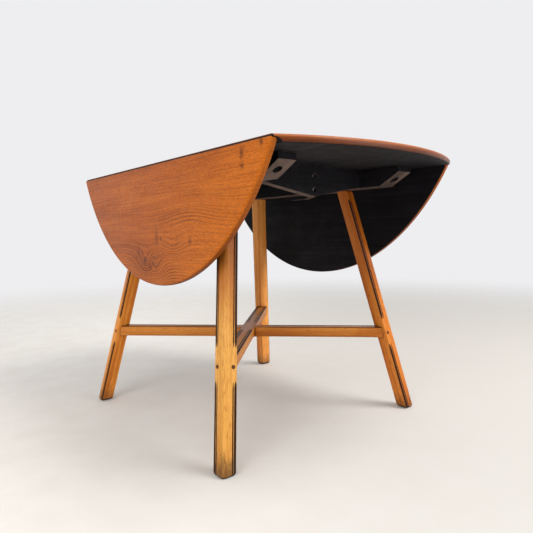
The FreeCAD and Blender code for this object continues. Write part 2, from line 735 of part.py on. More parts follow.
def groove_places():
    """Both grooves beside an edge: how far in each begins and ends."""
    fine_start = s.groove_inset + s.groove_width + s.groove_bead
    return ((s.groove_inset, s.groove_inset + s.groove_width),
            (fine_start, fine_start + s.fine_groove_width))


def leg_grooves(signs):
    """Grooves down both outer faces, near the inner edges, stopped at the top and round the stretcher."""
    joint_low = stretcher_middle - s.groove_joint_stop
    joint_high = stretcher_middle + s.groove_joint_stop
    reach_across = s.foot_across + leg_half + s.overrun
    reach_along = s.foot_along + leg_half + s.overrun
    deep_across = s.foot_across + leg_half - s.groove_depth
    deep_along = s.foot_along + leg_half - s.groove_depth
    grooves = []
    for start, end in groove_places():
        near_across = s.foot_across - leg_half + start
        far_across = s.foot_across - leg_half + end
        near_along = s.foot_along - leg_half + start
        far_along = s.foot_along - leg_half + end
        for low, high in (((deep_across, near_along), (reach_across, far_along)),
                          ((near_across, deep_along), (far_across, reach_along))):
            for bottom, top in ((0, joint_low), (joint_high, bearer_bottom - s.groove_top_stop)):
                span = box((-reach_across, -reach_along, bottom), (reach_across, reach_along, top))
                grooves.append(common(groove_bar(signs, low, high), span))
    return grooves


def groove_bar(signs, low, high):
    """A bar as long as a leg, between two corners at the floor."""
    body = doc.addObject("PartDesign::Body", "Groove")
    corners = ((low[0], low[1]), (high[0], low[1]), (high[0], high[1]), (low[0], high[1]))
    places = [(across * signs[0], along * signs[1]) for across, along in corners]
    return splay(body, corner_sketch(body, "Section", places), signs)


def diagonal_box(start, end, thickness, low, high, signs, aside=0):
    """A box along the diagonal towards one leg, from start to end out from the middle."""
    item = doc.addObject("Part::Box", "Diagonal")
    bind(item, Length=as_size(end) - start, Width=thickness, Height=as_size(high) - low)
    angle = math.atan2(joint_along.number * signs[1], joint_across.number * signs[0])
    turn = FreeCAD.Rotation(FreeCAD.Vector(0, 0, 1), math.degrees(angle))
    ahead = (math.cos(angle), math.sin(angle))
    left = as_size(aside) - as_size(thickness) / 2
    start = as_size(start)
    return put(item, (start * ahead[0] - left * ahead[1], start * ahead[1] + left * ahead[0], low), turn)


diagonal_reach = Size(math.hypot(joint_across.number, joint_along.number),
                      "sqrt(" + (joint_across * joint_across + joint_along * joint_along).text + ")")
tenon_low = stretcher_middle - s.stretcher_tenon_height / 2
tenon_high = stretcher_middle + s.stretcher_tenon_height / 2
tenon_end = diagonal_reach + s.stretcher_tenon_reach


def tenon(signs, spare):
    spare = as_size(spare)
    thickness = s.stretcher_tenon_thickness + spare * 2
    return diagonal_box(diagonal_reach - s.leg_width, tenon_end + spare, thickness,
                        tenon_low - spare, tenon_high + spare, signs)


def pegs(signs, spare, extra):
    """Two rods into a tenon, one through each outer face of the leg; spare and extra make them holes."""
    spare = as_size(spare)
    side = leg_half - s.peg_inset
    reach = side - s.peg_radius - s.peg_spacing + spare
    length = reach + leg_half + s.peg_proud + extra
    rods = []
    for axis, sign, middle in (("x", signs[0], joint_across), ("y", signs[1], joint_along)):
        inner = (middle - reach) * sign
        begin = inner if sign > 0 else inner - length
        if axis == "x":
            start = (begin, (joint_along - side) * signs[1], stretcher_middle)
        else:
            start = ((joint_across - side) * signs[0], begin, stretcher_middle)
        rods.append(cylinder(s.peg_radius + spare, length, start, axis))
    return rods


def peg_holes(signs):
    return pegs(signs, s.wood_clearance, s.overrun)


def leg(place, signs):
    body = leg_body(signs)
    root = (leg_top_across * signs[0], s.leg_top_along * signs[1], bearer_bottom - s.leg_tenon_radius)
    stub = cylinder(s.leg_tenon_radius, s.leg_tenon_length + s.leg_tenon_radius, root)
    tools = [tenon(signs, s.wood_clearance)] + peg_holes(signs)
    whole = cut(fuse([body, stub]), tools)
    return named(cut(whole, [group(leg_grooves(signs))]), place + "_leg")


def stretcher_grooves(places):
    """Grooves along both upper edges, from each leg nearly to the crossing."""
    high = s.stretcher_level + s.stretcher_height
    grooves = []
    for place in places:
        for start, end in groove_places():
            middle = (s.stretcher_width - start - end) / 2
            for aside in (middle, -middle):
                grooves.append(diagonal_box(s.groove_crossing_stop, diagonal_reach, end - start,
                                            high - s.groove_depth, high + s.overrun, LEG_SIDES[place], aside))
    return grooves


def stretcher(label, places, lapped_half):
    """A bar between two opposite legs, halved at the middle, with a notch and tenon at each end."""
    first, second = (LEG_SIDES[place] for place in places)
    high = s.stretcher_level + s.stretcher_height
    end = diagonal_reach
    bar = diagonal_box(-end, end, s.stretcher_width, s.stretcher_level, high, second)
    crossing = LEG_SIDES["front_right"] if "rear_right" in places else LEG_SIDES["rear_right"]
    lap_low = stretcher_middle if lapped_half == "upper" else s.stretcher_level - s.overrun
    lap_high = high + s.overrun if lapped_half == "upper" else stretcher_middle
    width = s.stretcher_width
    lap = diagonal_box(-width, width, width, lap_low, lap_high, crossing)
    shouldered = cut(cut(cut(bar, [lap]), [leg_body(first)]), [leg_body(second)])
    whole = fuse([shouldered, tenon(first, 0), tenon(second, 0)])
    pegged = cut(whole, peg_holes(first) + peg_holes(second))
    return named(cut(pegged, [group(stretcher_grooves(places))]), label)


def build():
    slab = oval_slab()
    center_panel(slab)
    for side in ("left", "right"):
        leaf(slab, side)
        bearer(side)
        bracket(side)
    for place in ("front", "rear"):
        cross_rail(place)
        rail_block(place)
    frame_screws()
    hinges()
    all_pegs = []
    for place, signs in LEG_SIDES.items():
        leg(place, signs)
        all_pegs += pegs(signs, 0, 0)
    named(group(all_pegs), "stretcher_pegs")
    stretcher("main_stretcher", ("front_left", "rear_right"), "lower")
    stretcher("cross_stretcher", ("rear_left", "front_right"), "upper")
    doc.recompute()


def write_parts():
    for item in doc.Objects:
        broken = [state for state in item.State if state in ("Invalid", "Error")]
        if broken:
            raise RuntimeError(item.Name + " " + item.Label + " did not build: " + str(item.State))
    for node in nodes:
        if node.Shape.isNull() or not node.Shape.isValid():
            raise RuntimeError(node.Label + " has no valid shape")
    os.makedirs("parts", exist_ok=True)
    for node in nodes:
        node.Shape.exportStep("parts/" + node.Label + ".step")
        print(node.Label, len(node.Shape.Solids), round(node.Shape.Volume))


build()
write_parts()
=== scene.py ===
"""Looks of the drop-leaf dining table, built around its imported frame.

Metres. The origin is on the floor under the middle of the table, +X runs across the leaves,
+Y along the hinge lines and +Z up. At rest both leaves hang down.
"""

import math

import bmesh
import bpy
from mathutils import Matrix, Vector


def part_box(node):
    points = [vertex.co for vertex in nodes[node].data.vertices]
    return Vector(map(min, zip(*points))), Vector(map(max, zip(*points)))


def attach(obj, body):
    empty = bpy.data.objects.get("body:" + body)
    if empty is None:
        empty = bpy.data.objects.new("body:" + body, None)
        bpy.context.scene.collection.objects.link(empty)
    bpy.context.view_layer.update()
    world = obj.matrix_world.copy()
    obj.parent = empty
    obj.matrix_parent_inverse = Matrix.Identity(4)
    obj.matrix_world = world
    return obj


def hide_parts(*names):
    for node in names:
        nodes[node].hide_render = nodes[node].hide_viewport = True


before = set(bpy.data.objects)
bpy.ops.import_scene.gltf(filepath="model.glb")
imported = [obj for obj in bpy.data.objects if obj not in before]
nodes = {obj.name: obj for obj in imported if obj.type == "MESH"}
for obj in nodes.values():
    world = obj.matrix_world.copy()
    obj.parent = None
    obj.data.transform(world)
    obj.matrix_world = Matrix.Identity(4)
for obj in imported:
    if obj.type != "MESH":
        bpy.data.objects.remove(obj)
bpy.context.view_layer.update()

# Camera fitted to the photograph, whose frame is square.
PHOTO_SIDE = 533
PHOTO_FOCAL = 500.3
SENSOR = 36.0
CAMERA_PLACE = Vector((-0.9218, -1.2215, 0.5279))
CAMERA_YAW = 0.6844
CAMERA_PITCH = 0.0677
CAMERA_ROLL = 0.0158

# Sizes of the wood, and places read from the frame.
LEG_WIDTH = 0.036
LEG_HALF = LEG_WIDTH / 2
LEG_CORNER_ROUND = 0.011
leg_low, leg_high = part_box("rear_right_leg")
BEARER_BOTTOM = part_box("left_bearer")[0].z
FOOT = Vector((leg_high.x - LEG_HALF, leg_high.y - LEG_HALF))
LEG_TOP = Vector((leg_low.x + LEG_HALF, leg_low.y + LEG_HALF))
stretcher_low, stretcher_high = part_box("main_stretcher")
STRETCHER_MIDDLE = (stretcher_low.z + stretcher_high.z) / 2
STRETCHER_HALF_HEIGHT = (stretcher_high.z - stretcher_low.z) / 2
STRETCHER_HALF_WIDTH = 0.020
TABLE_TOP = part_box("center_panel")[1].z
BOARD_THICKNESS = 0.017
pin_low, pin_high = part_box("right_front_hinge_pin")
HINGE = (pin_low + pin_high) / 2

# Grooves beside the edges of legs and stretchers: start, end and depth.
GROOVES = ((0.0010, 0.0067, 0.0022), (0.0087, 0.0116, 0.0016))
# Where the grooves stop: below the bearers, to both sides of a leg's joint with its bar, whose middle
# they take a little higher, and from the bars' crossing. Then the length over which they run out.
GROOVE_TOP_STOP = 0.025
GROOVE_JOINT_STOP = 0.036
GROOVE_JOINT_RISE = 0.0045
GROOVE_CROSSING_STOP = 0.055
GROOVE_RUN_OUT = 0.014
# Rounding of the other edges.
ARRIS = 0.0009

LEG_SIDES = {"front_left": (-1, -1), "front_right": (1, -1), "rear_left": (-1, 1), "rear_right": (1, 1)}


def tone(red, green, blue):
    """An sRGB colour of 0 to 255 as the linear colour a node takes."""
    channels = []
    for value in (red, green, blue):
        share = value / 255
        channels.append(share / 12.92 if share <= 0.04045 else ((share + 0.055) / 1.055) ** 2.4)
    return (*channels, 1.0)


# Materials

# Samples of the nodes that look round a point.
BEVEL_SAMPLES = 6
CREVICE_SAMPLES = 8
# How closely a rounded normal keeps to the flat one, along an edge and on an open face.
EDGE_LIKENESS = 0.90
FACE_LIKENESS = 0.995
# How open the surroundings are in a joint and on an open face.
JOINT_OPENNESS = 0.55
FACE_OPENNESS = 0.95


class Graph:
    """A material's node tree, filled one node at a time."""

    def __init__(self, name):
        self.material = bpy.data.materials.new(name)
        self.material.use_nodes = True
        self.tree = self.material.node_tree
        self.shader = self.tree.nodes["Principled BSDF"]

    def give(self, socket, value):
        if isinstance(value, bpy.types.NodeSocket):
            self.tree.links.new(value, socket)
        else:
            socket.default_value = value

    def node(self, kind, inputs, **settings):
        item = self.tree.nodes.new("ShaderNode" + kind)
        for name, value in settings.items():
            setattr(item, name, value)
        for name, value in inputs.items():
            self.give(item.inputs[name], value)
        return item

    def finish(self, **inputs):
        """The material, once the shader has these inputs; _ stands for a space in their names."""
        for name, value in inputs.items():
            self.give(self.shader.inputs[name.replace("_", " ")], value)
        return self.material

    def place(self):
        return self.node("TexCoord", {}).outputs["Object"]

    def math(self, operation, first, second=0.0):
        return self.node("Math", {0: first, 1: second}, operation=operation).outputs["Value"]

    def plus(self, first, second):
        return self.math("ADD", first, second)

    def minus(self, first, second):
        return self.math("SUBTRACT", first, second)

    def times(self, first, second):
        return self.math("MULTIPLY", first, second)

    def dot(self, first, second):
        return self.node("VectorMath", {0: first, 1: second}, operation="DOT_PRODUCT").outputs["Value"]

    def vector(self, x, y, z):
        return self.node("CombineXYZ", {"X": x, "Y": y, "Z": z}).outputs["Vector"]

    def axes(self, vector):
        parts = self.node("SeparateXYZ", {"Vector": vector})
        return parts.outputs["X"], parts.outputs["Y"], parts.outputs["Z"]

    def turned(self, place, origin, axes):
        """A place seen from another origin along three other axes."""
        away = self.node("VectorMath", {0: place, 1: origin}, operation="SUBTRACT").outputs["Vector"]
        return self.vector(*[self.dot(away, axis) for axis in axes])

    def facing(self, direction):
        """How far the surface faces a direction of the piece's own frame, from -1 to 1."""
        return self.dot(self.node("TexCoord", {}).outputs["Normal"], direction)

    def spot(self, values, places, reaches):
        """1 at a place and 0 well away from it, over two values."""
        terms = []
        for value, place, reach in zip(values, places, reaches):
            share = self.math("DIVIDE", self.minus(value, place), reach)
            terms.append(self.times(share, share))
        return self.math("EXPONENT", self.times(self.plus(*terms), -1.0))

    def ramp(self, value, low, high, start=0.0, end=1.0):
        """Smooth change from start to end while value goes from low to high."""
        inputs = {"Value": value, "From Min": low, "From Max": high, "To Min": start, "To Max": end}
        return self.node("MapRange", inputs, interpolation_type="SMOOTHSTEP").outputs["Result"]

    def step(self, value, place, blur, start=0.0, end=1.0):
        """Change from start to end where value passes a place."""
        return self.ramp(value, place - blur, place + blur, start, end)

    def blend(self, share, first, second):
        item = self.node("Mix", {}, data_type="RGBA")
        self.give(item.inputs["Factor"], share)
        self.give(item.inputs[6], first)
        self.give(item.inputs[7], second)
        return item.outputs[2]

    def noise(self, vector, scale, detail=3.0, roughness=0.55, distortion=0.0):
        """Noise of one scale, or of three along the vector's axes."""
        if isinstance(scale, tuple):
            vector = self.node("Mapping", {"Vector": vector, "Scale": scale}).outputs["Vector"]
            scale = 1.0
        inputs = {"Vector": vector, "Scale": scale, "Detail": detail, "Roughness": roughness,
                  "Distortion": distortion}
        return self.node("TexNoise", inputs).outputs["Fac"]

    def colours(self, value, stops):
        item = self.node("ValToRGB", {"Fac": value})
        elements = item.color_ramp.elements
        while len(elements) < len(stops):
            elements.new(0.5)
        for element, (position, colour) in zip(elements, stops):
            element.position = position
            element.color = colour
        return item.outputs["Color"]

    def bump(self, height, distance, strength, base=None):
        inputs = {"Height": height, "Distance": distance, "Strength": strength}
        if base:
            inputs["Normal"] = base
        return self.node("Bump", inputs).outputs["Normal"]

    def rounded(self, radius):
        """Normals as if the edges were rounded."""
        return self.node("Bevel", {"Radius": radius}, samples=BEVEL_SAMPLES).outputs["Normal"]

    def edge(self, radius):
        """1 along sharp edges, 0 on open faces, and the normals as if the edges were rounded."""
        rounded = self.rounded(radius)
        likeness = self.dot(rounded, self.node("NewGeometry", {}).outputs["Normal"])
        return self.ramp(likeness, EDGE_LIKENESS, FACE_LIKENESS, 1.0, 0.0), rounded

    def crevice(self, distance):
        """1 in corners and joints, 0 on open faces."""
        item = self.node("AmbientOcclusion", {"Distance": distance}, samples=CREVICE_SAMPLES)
        return self.ramp(item.outputs["AO"], JOINT_OPENNESS, FACE_OPENNESS, 1.0, 0.0)


# Figure of the left leaf: places along and up, reaches along and up, and how far the grain dips there.
LEFT_LEAF_DIPS = (
    ((0.056, 0.436), (0.066, 0.048), 0.046),
    ((-0.024, 0.430), (0.044, 0.032), 0.022),
    ((0.010, 0.452), (0.013, 0.020), -0.011),
    ((0.054, 0.458), (0.015, 0.013), 0.013),
    ((-0.107, 0.497), (0.052, 0.026), 0.017),
    ((-0.190, 0.576), (0.120, 0.040), -0.018),
)
# Where its rings are strongly marked: places, reaches and weight.
LEFT_LEAF_RINGS = (
    ((0.070, 0.442), (0.130, 0.042), 1.00),
    ((-0.080, 0.430), (0.075, 0.030), 0.90),
    ((-0.105, 0.496), (0.065, 0.022), 0.65),
    ((-0.170, 0.570), (0.140, 0.022), 0.60),
    ((0.300, 0.590), (0.160, 0.090), 0.18),
)
# Dark traces of small knots: places, half sizes and weight.
LEFT_LEAF_TRACES = (
    ((-0.3975, 0.690), (0.0060, 0.013), 0.70),
    ((-0.3985, 0.664), (0.0060, 0.005), 0.75),
    ((-0.4620, 0.703), (0.0045, 0.007), 0.80),
    ((-0.4840, 0.676), (0.0060, 0.010), 0.35),
    ((-0.0160, 0.520), (0.0080, 0.022), 0.50),
    ((-0.0390, 0.517), (0.0050, 0.005), 0.70),
    ((-0.1850, 0.510), (0.0070, 0.010), 0.50),
    ((0.0940, 0.477), (0.0060, 0.014), 0.40),
    ((0.0580, 0.454), (0.0080, 0.008), 0.60),
    ((0.0270, 0.441), (0.0070, 0.007), 0.50),
    ((0.2190, 0.660), (0.0060, 0.004), 0.45),
    ((0.0410, 0.648), (0.0040, 0.007), 0.40),
    ((0.2670, 0.548), (0.0060, 0.006), 0.25),
)

# Boards of the middle and of the right leaf: width, depth of the pith and how far it slopes.
CENTER_BOARDS = (0.203, 0.065, 0.075)
RIGHT_LEAF_BOARDS = (0.190, 0.050, 0.060)
# The wave by which the pith shifts from board to board: its turn, and its reach aside and down.
BOARD_TURN = 2.4
BOARD_SHIFT_ASIDE = 0.03
BOARD_SHIFT_DOWN = 0.02
# Turn of the wave that darkens some boards.
BOARD_TINT_TURN = 4.0


def glued_boards(graph, along, across, width, pith, slope):
    """Number of each board glued side by side, and the distance from its pith, whose contours are arches."""
    number = graph.math("FLOOR", graph.plus(graph.math("DIVIDE", across, width), 0.5))
    shift = graph.math("SINE", graph.times(number, BOARD_TURN))
    aside = graph.minus(across, graph.times(number, width))
    aside = graph.plus(aside, graph.times(shift, BOARD_SHIFT_ASIDE))
    below = graph.plus(graph.times(along, slope), graph.times(shift, BOARD_SHIFT_DOWN))
    below = graph.plus(below, pith)
    squares = graph.plus(graph.times(aside, aside), graph.times(below, below))
    return number, graph.math("SQRT", squares)


# How fine each layer of the elm's figure is: along the grain, across it and into the board.
ELM_DRIFT_SCALE = (1.6, 6.0, 6.0)
ELM_JITTER_SCALE = (7.0, 60.0, 60.0)
ELM_WEIGHT_SCALE = (2.4, 14.0, 14.0)
ELM_STREAK_SCALE = (6.0, 430.0, 430.0)
ELM_CLOUD_SCALE = (3.0, 18.0, 18.0)
ELM_PORE_SCALE = (130.0, 720.0, 720.0)
# Rings: slow drift in metres, count in a metre, and unevenness as a share of a ring.
RING_DRIFT = 0.022
RING_COUNT = 120.0
RING_JITTER = 0.9
# How strongly the rings show at least, and at most in glued boards and in the left leaf.
RING_LEAST = 0.03
RING_MOST_BOARDS = 0.40
RING_MOST_LEAF = 0.24
# Darkness across one ring, highest in the late wood.
RING_PROFILE = (
    (0.0, (0.1, 0.1, 0.1, 1)),
    (0.45, (0, 0, 0, 1)),
    (0.82, (1, 1, 1, 1)),
    (1.0, (0.1, 0.1, 0.1, 1)),
)
ELM_SHADES = ((0.30, tone(162, 80, 22)), (0.52, tone(182, 93, 26)), (0.75, tone(200, 108, 34)))
ELM_DARK_BOARD = tone(150, 74, 24)
ELM_PAINTED_LIGHT_END = tone(218, 118, 20)
ELM_DARK_STREAK = tone(118, 52, 14)
ELM_PALE_STREAK = tone(214, 128, 56)
ELM_LATE_WOOD = tone(62, 22, 6)
ELM_PORE = tone(90, 40, 14)
ELM_TRACE = tone(62, 24, 10)


def elm_figure(graph, along, across, depth, dips, rings, traces, boards):
    """Colour and height of a polished elm board."""
    spread = (along, across)
    layer = depth
    radius = across
    if boards:
        number, radius = glued_boards(graph, along, across, *boards)
        layer = graph.plus(depth, number)
    drift = graph.noise(graph.vector(along, across, layer), ELM_DRIFT_SCALE, 2.0)
    level = graph.plus(radius, graph.times(drift, RING_DRIFT))
    for middle, reach, dip in dips:
        level = graph.plus(level, graph.times(graph.spot(spread, middle, reach), dip))
    grain = graph.vector(along, level, layer)
    jitter = graph.noise(grain, ELM_JITTER_SCALE, 3.0)
    turns = graph.plus(graph.times(level, RING_COUNT), graph.times(jitter, RING_JITTER))
    late = graph.colours(graph.math("FRACT", turns), RING_PROFILE)
    most = RING_MOST_BOARDS if boards else RING_MOST_LEAF
    weight = graph.ramp(graph.noise(grain, ELM_WEIGHT_SCALE, 2.0), 0.38, 0.68, RING_LEAST, most)
    for middle, reach, strength in rings:
        weight = graph.math("MAXIMUM", weight, graph.times(graph.spot(spread, middle, reach), strength))
    line = graph.times(late, weight)
    streak = graph.noise(grain, ELM_STREAK_SCALE, 4.0, 0.6)
    cloud = graph.noise(grain, ELM_CLOUD_SCALE, 3.0)
    pore = graph.ramp(graph.noise(grain, ELM_PORE_SCALE, 2.0), 0.48, 0.66, 0.0, 0.45)
    colour = graph.colours(cloud, ELM_SHADES)
    if boards:
        tint = graph.math("SINE", graph.times(number, BOARD_TINT_TURN))
        colour = graph.blend(graph.ramp(tint, -1.0, 1.0, 0.0, 0.35), colour, ELM_DARK_BOARD)
    else:
        # Painted light: the single board is painted brighter and warmer towards its near, lower corner.
        slant = graph.plus(along, graph.times(across, 0.9))
        colour = graph.blend(graph.ramp(slant, 0.62, 0.05, 0.0, 0.70), colour, ELM_PAINTED_LIGHT_END)
    colour = graph.blend(graph.ramp(streak, 0.42, 0.72, 0.0, 0.40), colour, ELM_DARK_STREAK)
    colour = graph.blend(graph.ramp(streak, 0.52, 0.30, 0.0, 0.26), colour, ELM_PALE_STREAK)
    colour = graph.blend(line, colour, ELM_LATE_WOOD)
    colour = graph.blend(pore, colour, ELM_PORE)
    for middle, reach, strength in traces:
        share = graph.times(graph.spot(spread, middle, reach), strength)
        colour = graph.blend(share, colour, ELM_TRACE)
    height = graph.minus(graph.times(streak, 0.6), graph.plus(pore, line))
    return colour, height


RIM_BAND_SCALE = (24.0, 24.0, 320.0)
RIM_BAND = tone(112, 48, 16)
# Rim of the middle board, from its lower edge to its top: darker below as painted shade, lighter at the top
# as a painted highlight.
RIM_PAINTED_LIGHT = (
    (0.0, tone(54, 22, 7)),
    (0.35, tone(88, 40, 10)),
    (0.7, tone(122, 60, 15)),
    (1.0, tone(178, 104, 40)),
)


def rim_figure_and_light(graph, place, height):
    """Colour of the end grain round the rim, darker towards the underside as painted shade and lighter at the
    top as a painted highlight.
    """
    band = graph.noise(place, RIM_BAND_SCALE, 3.0)
    colour = graph.colours(height, RIM_PAINTED_LIGHT)
    return graph.blend(graph.ramp(band, 0.4, 0.65, 0.0, 0.35), colour, RIM_BAND)


# How fine the stain's streaks are on each axis, in boards and bearers and in the cross rails.
BLACK_GRAIN = (110.0, 5.0, 110.0)
RAIL_GRAIN = (5.0, 110.0, 110.0)
BLACK_WIPE_SCALE = (34.0, 3.0, 34.0)
BLACK_SHADES = ((0.30, tone(13, 12, 15)), (0.70, tone(25, 23, 28)))
BLACK_DUST = tone(52, 48, 52)
BLACK_WIPE = tone(54, 48, 57)


def black_figure(graph, place, grain=BLACK_GRAIN):
    """Colour and roughness of the black stain on the hidden sides."""
    streak = graph.noise(place, grain, 4.0)
    dust = graph.noise(place, 26.0, 5.0, 0.65)
    wipe = graph.noise(place, BLACK_WIPE_SCALE, 4.0, 0.6)
    colour = graph.colours(streak, BLACK_SHADES)
    colour = graph.blend(graph.ramp(dust, 0.55, 0.80, 0.0, 0.22), colour, BLACK_DUST)
    colour = graph.blend(graph.ramp(wipe, 0.45, 0.80, 0.0, 0.30), colour, BLACK_WIPE)
    return colour, graph.ramp(dust, 0.3, 0.7, 0.55, 0.75)


# Where the stain ends at the rule joint, from the hinge line, the pin or the top, and how softly.
LEAF_STAIN_INSIDE = 0.007
LEAF_STAIN_BELOW = 0.012
LEAF_STAIN_BLUR = 0.0005
HOLLOW_INSIDE = 0.017
HOLLOW_ABOVE = 0.0002
HOLLOW_BLUR = 0.0002
EDGE_STAIN_INSIDE = 0.00025
EDGE_STAIN_BLUR = 0.00015
EDGE_STAIN_BELOW = 0.0011
EDGE_STAIN_FADE = 0.0007
EDGE_STAIN_LEAST = 0.15
# Finish of the boards: rounded edges, depth of the grain, roughness and shine. Then the painted shade on a
# leaf's rim where it turns down, and how much of the middle board's rim takes the rim colour.
BOARD_EDGE_ROUND = 0.0012
GRAIN_DEPTH = 0.0003
GRAIN_STRENGTH = 0.3
ELM_ROUGHNESS = (0.28, 0.40)
LEAF_SPECULAR = 0.12
TOP_SPECULAR = 0.17
LEAF_RIM_PAINTED_SHADE = tone(92, 42, 14)
RIM_SHARE = 0.9


def elm_board(name, leaf, dips=(), rings=(), traces=(), boards=None):
    """Elm outside and black stain on the hidden side and in the rule joint; leaf is a leaf's side."""
    graph = Graph(name)
    place = graph.place()
    x, y, z = graph.axes(place)
    away = graph.math("ABSOLUTE", x)
    across, depth = (z, x) if leaf else (x, z)
    colour, height = elm_figure(graph, y, across, depth, dips, rings, traces, boards)
    black, black_rough = black_figure(graph, place)
    end = graph.ramp(graph.math("ABSOLUTE", graph.facing((0, 1, 0))), 0.45, 0.65)
    within = graph.minus(1.0, end)
    if leaf:
        inward = 1 if leaf == "left" else -1
        hidden = graph.ramp(graph.facing((inward, 0, 0)), 0.45, 0.75)
        joint = graph.times(graph.step(away, HINGE.x - LEAF_STAIN_INSIDE, LEAF_STAIN_BLUR, 1.0, 0.0),
                            graph.step(z, HINGE.z - LEAF_STAIN_BELOW, LEAF_STAIN_BLUR))
        joint = graph.times(joint, within)
    else:
        hidden = graph.ramp(graph.facing((0, 0, -1)), 0.45, 0.75)
        hollow = graph.times(graph.step(away, HINGE.x - HOLLOW_INSIDE, HOLLOW_BLUR),
                             graph.step(z, HINGE.z + HOLLOW_ABOVE, HOLLOW_BLUR, 1.0, 0.0))
        fade = graph.step(z, TABLE_TOP - EDGE_STAIN_BELOW, EDGE_STAIN_FADE, 1.0, EDGE_STAIN_LEAST)
        edge = graph.times(graph.step(away, HINGE.x - EDGE_STAIN_INSIDE, EDGE_STAIN_BLUR), fade)
        joint = graph.math("MAXIMUM", edge, graph.times(hollow, within))
    hidden = graph.math("MAXIMUM", hidden, joint)
    face = graph.facing((1, 0, 0) if leaf else (0, 0, 1))
    rim = graph.ramp(graph.math("ABSOLUTE", face), 0.92, 0.40)
    if leaf:
        # Painted shade: a leaf's rim darkens where it turns down.
        low = graph.ramp(graph.facing((0, 0, -1)), 0.25, 0.95, 0.06, 0.75)
        colour = graph.blend(graph.times(rim, low), colour, LEAF_RIM_PAINTED_SHADE)
    else:
        # The middle board's rim: end grain with painted shade below and a painted highlight on top.
        rim_colour = rim_figure_and_light(graph, place, graph.ramp(z, TABLE_TOP - BOARD_THICKNESS, TABLE_TOP))
        colour = graph.blend(graph.times(rim, RIM_SHARE), colour, rim_colour)
    wear = graph.noise(place, 40.0, 4.0)
    rough = graph.ramp(wear, 0.3, 0.7, *ELM_ROUGHNESS)
    return graph.finish(
        Base_Color=graph.blend(hidden, colour, black),
        Roughness=graph.node("Mix", {0: hidden, 2: rough, 3: black_rough}).outputs[0],
        Normal=graph.bump(height, GRAIN_DEPTH, GRAIN_STRENGTH, graph.rounded(BOARD_EDGE_ROUND)),
        Specular_IOR_Level=LEAF_SPECULAR if leaf else TOP_SPECULAR)


FRAME_EDGE_WEAR = 0.0022
WORN_EDGE = tone(130, 108, 92)
WEAR_AND_SHEEN_SCALE = (18.0, 5.0, 18.0)
BLACK_SPECULAR = 0.15


def black_wood(name, wear_and_sheen_tone, grain=BLACK_GRAIN):
    """Black-stained frame wood, worn pale along its edges, and pale on its underside: bare wood there and a
    painted reflection of the pale floor.
    """
    graph = Graph(name)
    place = graph.place()
    colour, rough = black_figure(graph, place, grain)
    edge, rounded = graph.edge(FRAME_EDGE_WEAR)
    patch = graph.ramp(graph.noise(place, 55.0, 4.0), 0.42, 0.62)
    worn = graph.times(edge, patch)
    colour = graph.blend(graph.times(worn, 0.6), colour, WORN_EDGE)
    # Faces turned down are painted paler: worn bare wood and a painted reflection of the floor.
    down = graph.ramp(graph.facing((0, 0, -1)), 0.35, 0.7)
    wear_and_sheen_patch = graph.ramp(graph.noise(place, WEAR_AND_SHEEN_SCALE, 4.0), 0.30, 0.65, 0.35, 1.0)
    colour = graph.blend(graph.times(graph.times(down, wear_and_sheen_patch), 0.8), colour, wear_and_sheen_tone)
    return graph.finish(Base_Color=colour, Roughness=rough, Normal=rounded, Specular_IOR_Level=BLACK_SPECULAR)


# How fine each layer of the beech's figure is: twice across the grain, and along it.
BEECH_BAND_SCALE = (75.0, 75.0, 1.5)
BEECH_CLOUD_SCALE = (18.0, 18.0, 3.5)
BEECH_FLECK_SCALE = (360.0, 360.0, 52.0)
BEECH_MARK_SCALE = (150.0, 150.0, 55.0)
GRIME_SCALE = (110.0, 110.0, 45.0)
BEECH_MARK = tone(120, 62, 28)
# Next, the tone of the painted shade towards the top of a leg.
BEECH_PAINTED_SHADE = tone(168, 82, 10)
HANDLED_EDGE = tone(92, 42, 14)
GROOVE_STAIN = tone(20, 10, 7)
# Next, dirt and painted shade in the joints.
JOINT_DIRT_AND_SHADE = tone(62, 30, 12)
FOOT_GRIME = tone(62, 42, 30)
SOLE_GRIME = tone(46, 32, 24)
BEECH_EDGE_WEAR = 0.0026
JOINT_DIRT_AND_SHADE_REACH = 0.007
# Distances up a leg between which it darkens with painted shade.
TOP_SHADE_LEVELS = (0.28, 0.54)
# Levels between which the grime fades, and how far its patches reach up from there.
GRIME_LEVELS = (-0.055, 0.006)
GRIME_REACH = 0.12
BEECH_SPECULAR = 0.16


